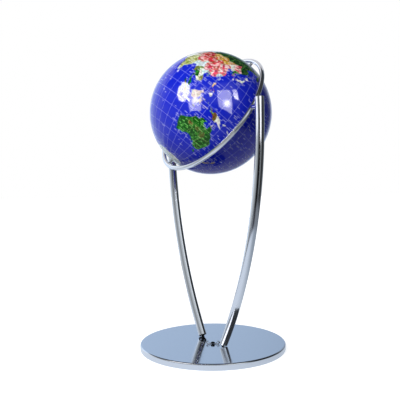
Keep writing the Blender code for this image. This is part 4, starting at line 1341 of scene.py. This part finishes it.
def make_floor(settings, receivers):
    """A wide round floor under the base, and the discs that metal and the ball mirror."""
    for name, surface, radius, depth, mirror in (
            ("floor", floor_surface, 9.0, 0.0003, None),
            ("table", table_surface, 2.0, 0.0001, "stand"),
            ("ground", ground_surface, 2.0, 0.0002, "ball")):
        stage_piece(
            name, *revolve([(0.0, 0.0), (radius, 0.0)], 96), lambda tree: surface(tree, settings),
            (0.0, 0.0, -depth), receivers.get(mirror))


def make_card(name, receivers, mirrored_by, corners, level, peak=None, lamp=(0, 0), reach=1.0,
              seen_from=BALL_CENTRE.z, distance=CARD_DISTANCE):
    """A glowing card that doesn't hide what is behind, linked to the pieces that mirror it."""
    origin = Vector((0.0, 0.0, seen_from))
    points = [origin + toward(*corner) * distance for corner in corners]
    middle = sum(points, Vector()) / len(points)
    lamp = origin + toward(*lamp) * (middle - origin).length - middle

    def surface(tree):
        fall = smooth_step(tree, distance_from(tree, output_place(tree), lamp), reach, 0.0)
        strength = math_node(tree, "MULTIPLY_ADD", fall, (peak or level) - level, level)
        return both(tree, glow(tree, CARD_COLOUR, strength), clear(tree))

    stage_piece(
        name, [point - middle for point in points], [range(len(points))], surface, middle,
        receivers[mirrored_by])


def make_flag():
    """A thin ring of card in the globe ring's plane, which keeps the key light off the ball's
    underside. Nothing sees it; it only casts its shadow."""
    vertices, faces = revolve([(BALL_RADIUS + 0.0008, 0.0), (RING_RADIUS_OUT, 0.0)], 128)
    black = bpy.data.materials.new("black_card")
    black.use_nodes = True
    black.node_tree.nodes["Principled BSDF"].inputs["Base Color"].default_value = (0, 0, 0, 1)
    flag = new_piece("key_flag", vertices, faces, [black], None, RING_PLACE)
    hide_from(flag, "camera", "diffuse", "glossy")


def make_key_light(power):
    """A square soft light aimed at the ball, which lights stone but isn't seen in metal."""
    light = bpy.data.lights.new("key", "AREA")
    light.shape = "SQUARE"
    light.size = 0.9
    light.energy = power
    light.color = (1.0, 0.99, 0.98)
    away = toward(-29, 29)
    item = linked("key", light)
    item.matrix_world = aimed(BALL_CENTRE + away * 2.2, away)
    hide_from(item, "camera", "glossy")


def make_camera():
    """The camera in front of the globe."""
    camera = bpy.data.cameras.new("camera")
    camera.lens = CAMERA_LENS
    camera.sensor_width = 36.0
    camera.clip_start = 0.05
    camera.clip_end = 60.0
    item = linked("camera", camera)
    look = aimed(CAMERA_PLACE, CAMERA_AIM - CAMERA_PLACE, "-Z")
    item.matrix_world = look @ Matrix.Rotation(CAMERA_ROLL, 4, "Z")
    bpy.context.scene.camera = item


# --- The add-on ------------------------------------------------------------------
def colour_prop(name, description, default):
    return FloatVectorProperty(
        name=name, description=description, default=default, subtype="COLOR", min=0.0, max=1.0)


def length_prop(name, description, default, low, high):
    return FloatProperty(
        name=name, description=description, default=default, min=low, max=high, unit="LENGTH")


def share_prop(name, description, default):
    return FloatProperty(name=name, description=description, default=default, min=0.0, max=1.0)


class StandSettings(bpy.types.PropertyGroup):
    """Sizes and finishes of the chrome stand."""

    base_radius: length_prop("Base radius", "Radius of the base disc", BASE_RADIUS, 0.05, 1.0)
    base_edge: length_prop("Base edge", "Radius of the base's rounded edges", BASE_EDGE, 0.0005, 0.008)
    ring_tube: length_prop("Ring bar", "Radius of the ring's round bar", RING_TUBE, 0.002, 0.006)
    chrome_colour: colour_prop("Chrome", "Colour of the polished chrome", (0.66, 0.70, 0.78))
    chrome_roughness: share_prop("Chrome roughness", "Roughness of clean chrome", 0.03)
    dark_colour: colour_prop("Dark steel", "Colour of the blackened screws", (0.020, 0.020, 0.024))


class BallSettings(bpy.types.PropertyGroup):
    """Colours and line widths of the inlaid ball."""

    ocean_colour: colour_prop("Ocean", "Colour of the blue stone", (0.005, 0.017, 0.60))
    sea_line_colour: colour_prop("Sea lines", "Colour of the grid lines at sea", (0.46, 0.50, 0.98))
    land_line_colour: colour_prop("Land lines", "Colour of the grid lines on land", (0.12, 0.56, 0.08))
    line_width: length_prop("Grid line", "Width of the grid lines", 0.0005, 0.0002, 0.003)
    wire_colour: colour_prop("Border wire", "Colour of the wires between countries", (0.40, 0.50, 0.16))
    wire_width: length_prop(
        "Border wire width", "Width of the wires between countries", 0.0004, 0.0001, 0.002)
    land_stroke_colour: colour_prop(
        "Land strokes", "Colour of the small strokes on land", (0.96, 0.93, 0.90))
    green_stroke_colour: colour_prop(
        "Strokes on green", "Colour of the small strokes on green land", (0.26, 0.86, 0.16))
    sea_stroke_colour: colour_prop(
        "Sea strokes", "Colour of the small strokes at sea", (0.74, 0.77, 1.00))
    stroke_width: length_prop("Stroke width", "Width of the small strokes", 0.0006, 0.0001, 0.002)


class StageSettings(bpy.types.PropertyGroup):
    """Light, floor and room around the globe."""

    key_power: FloatProperty(
        name="Key light", description="Power of the main soft light", default=45.0, min=0.0,
        unit="POWER")
    fill_colour: colour_prop("Fill colour", "Colour of the even light from the room", (0.95, 0.97, 1.0))
    fill_strength: share_prop("Fill", "Strength of the even light from the room", 0.13)
    front_tint: colour_prop("Front tint", "Tint of the room in front", (0.92, 0.97, 1.0))
    back_tint: colour_prop("Back tint", "Tint of the room behind", (0.59, 0.755, 1.0))
    floor_colour: colour_prop("Floor", "Colour of the floor", (0.80, 0.80, 0.80))
    floor_glow: share_prop("Floor glow", "Light that the floor gives of itself", 0.80)
    floor_bounce: share_prop("Floor bounce", "Light that the floor throws back on stone", 0.22)
    floor_in_ball: share_prop("Floor in ball", "Floor's brightness as the ball mirrors it", 0.45)
    table_left: colour_prop(
        "Floor in metal, left", "Floor on the left as metal mirrors it", (0.77, 0.84, 0.94))
    table_right: colour_prop(
        "Floor in metal, right", "Floor on the right as metal mirrors it", (0.36, 0.41, 0.47))


class FLOORGLOBE_OT_base(bpy.types.Operator):
    """Make the round base"""

    bl_idname = "floor_globe.base"
    bl_label = "Base"

    def execute(self, context):
        make_base(context.scene.floor_globe_stand)
        return {"FINISHED"}


class FLOORGLOBE_OT_legs(bpy.types.Operator):
    """Make the two curved legs with their bolts and the ring's pivots"""

    bl_idname = "floor_globe.legs"
    bl_label = "Legs"

    def execute(self, context):
        for side, word in ((1, "right"), (-1, "left")):
            make_leg(side, word)
            make_leg_bolt(side, word)
            make_pivot_pin(side, word)
        return {"FINISHED"}


class FLOORGLOBE_OT_foot_fitting(bpy.types.Operator):
    """Make the round-headed screw and the wire link that it holds"""

    bl_idname = "floor_globe.foot_fitting"
    bl_label = "Foot fitting"

    def execute(self, context):
        make_screw()
        make_link()
        return {"FINISHED"}


class FLOORGLOBE_OT_ring(bpy.types.Operator):
    """Make the tilting ring and the pins at the ball's poles"""

    bl_idname = "floor_globe.ring"
    bl_label = "Ring"

    def execute(self, context):
        make_ring(context.scene.floor_globe_stand)
        for sign, word in ((1, "north"), (-1, "south")):
            make_pole_pin(sign, word)
        return {"FINISHED"}


class FLOORGLOBE_OT_ball(bpy.types.Operator):
    """Make the inlaid ball with its border wires and rows of strokes"""

    bl_idname = "floor_globe.ball"
    bl_label = "Ball"

    def execute(self, context):
        settings = context.scene.floor_globe_ball
        points, borders = make_ball(settings)
        make_border_wires(points, borders, settings)
        make_name_strokes(settings)
        return {"FINISHED"}


class FLOORGLOBE_OT_stage(bpy.types.Operator):
    """Make the floor, the lights, the room and the camera"""

    bl_idname = "floor_globe.stage"
    bl_label = "Stage"

    def execute(self, context):
        settings = context.scene.floor_globe_stage
        receivers = {}
        for mirror, names in MIRRORS.items():
            receivers[mirror] = bpy.data.collections.new(f"mirrors_{mirror}")
            for name in names:
                if name not in bpy.data.objects:
                    raise RuntimeError(f"make {name} before the stage")
                receivers[mirror].objects.link(bpy.data.objects[name])
        for name, card in CARDS.items():
            make_card(name, receivers, **card)
        make_flag()
        make_key_light(settings.key_power)
        make_room(settings)
        make_floor(settings, receivers)
        make_camera()
        context.scene.view_settings.view_transform = "Standard"
        return {"FINISHED"}


class FLOORGLOBE_PT_panel(bpy.types.Panel):
    """The globe's settings and its makers"""

    bl_idname = "FLOORGLOBE_PT_panel"
    bl_label = "Floor globe"
    bl_space_type = "VIEW_3D"
    bl_region_type = "UI"
    bl_category = "Floor globe"

    def draw(self, context):
        for name in SETTINGS:
            group = getattr(context.scene, name)
            box = self.layout.box()
            box.label(text=name.removeprefix("floor_globe_").capitalize())
            for key in group.bl_rna.properties.keys():
                if key not in ("rna_type", "name"):
                    box.prop(group, key)
        for maker in MAKERS:
            self.layout.operator(maker.bl_idname)


SETTINGS = {
    "floor_globe_stand": StandSettings,
    "floor_globe_ball": BallSettings,
    "floor_globe_stage": StageSettings,
}
MAKERS = (
    FLOORGLOBE_OT_base, FLOORGLOBE_OT_legs, FLOORGLOBE_OT_foot_fitting, FLOORGLOBE_OT_ring,
    FLOORGLOBE_OT_ball, FLOORGLOBE_OT_stage)
CLASSES = (*SETTINGS.values(), *MAKERS, FLOORGLOBE_PT_panel)


def register():
    for item in CLASSES:
        bpy.utils.register_class(item)
    for name, kind in SETTINGS.items():
        setattr(bpy.types.Scene, name, PointerProperty(type=kind))


def unregister():
    for name in SETTINGS:
        delattr(bpy.types.Scene, name)
    for item in reversed(CLASSES):
        bpy.utils.unregister_class(item)


def main():
    register()
    for maker in MAKERS:
        group, name = maker.bl_idname.split(".")
        getattr(getattr(bpy.ops, group), name)()


if __name__ == "__main__":
    main()
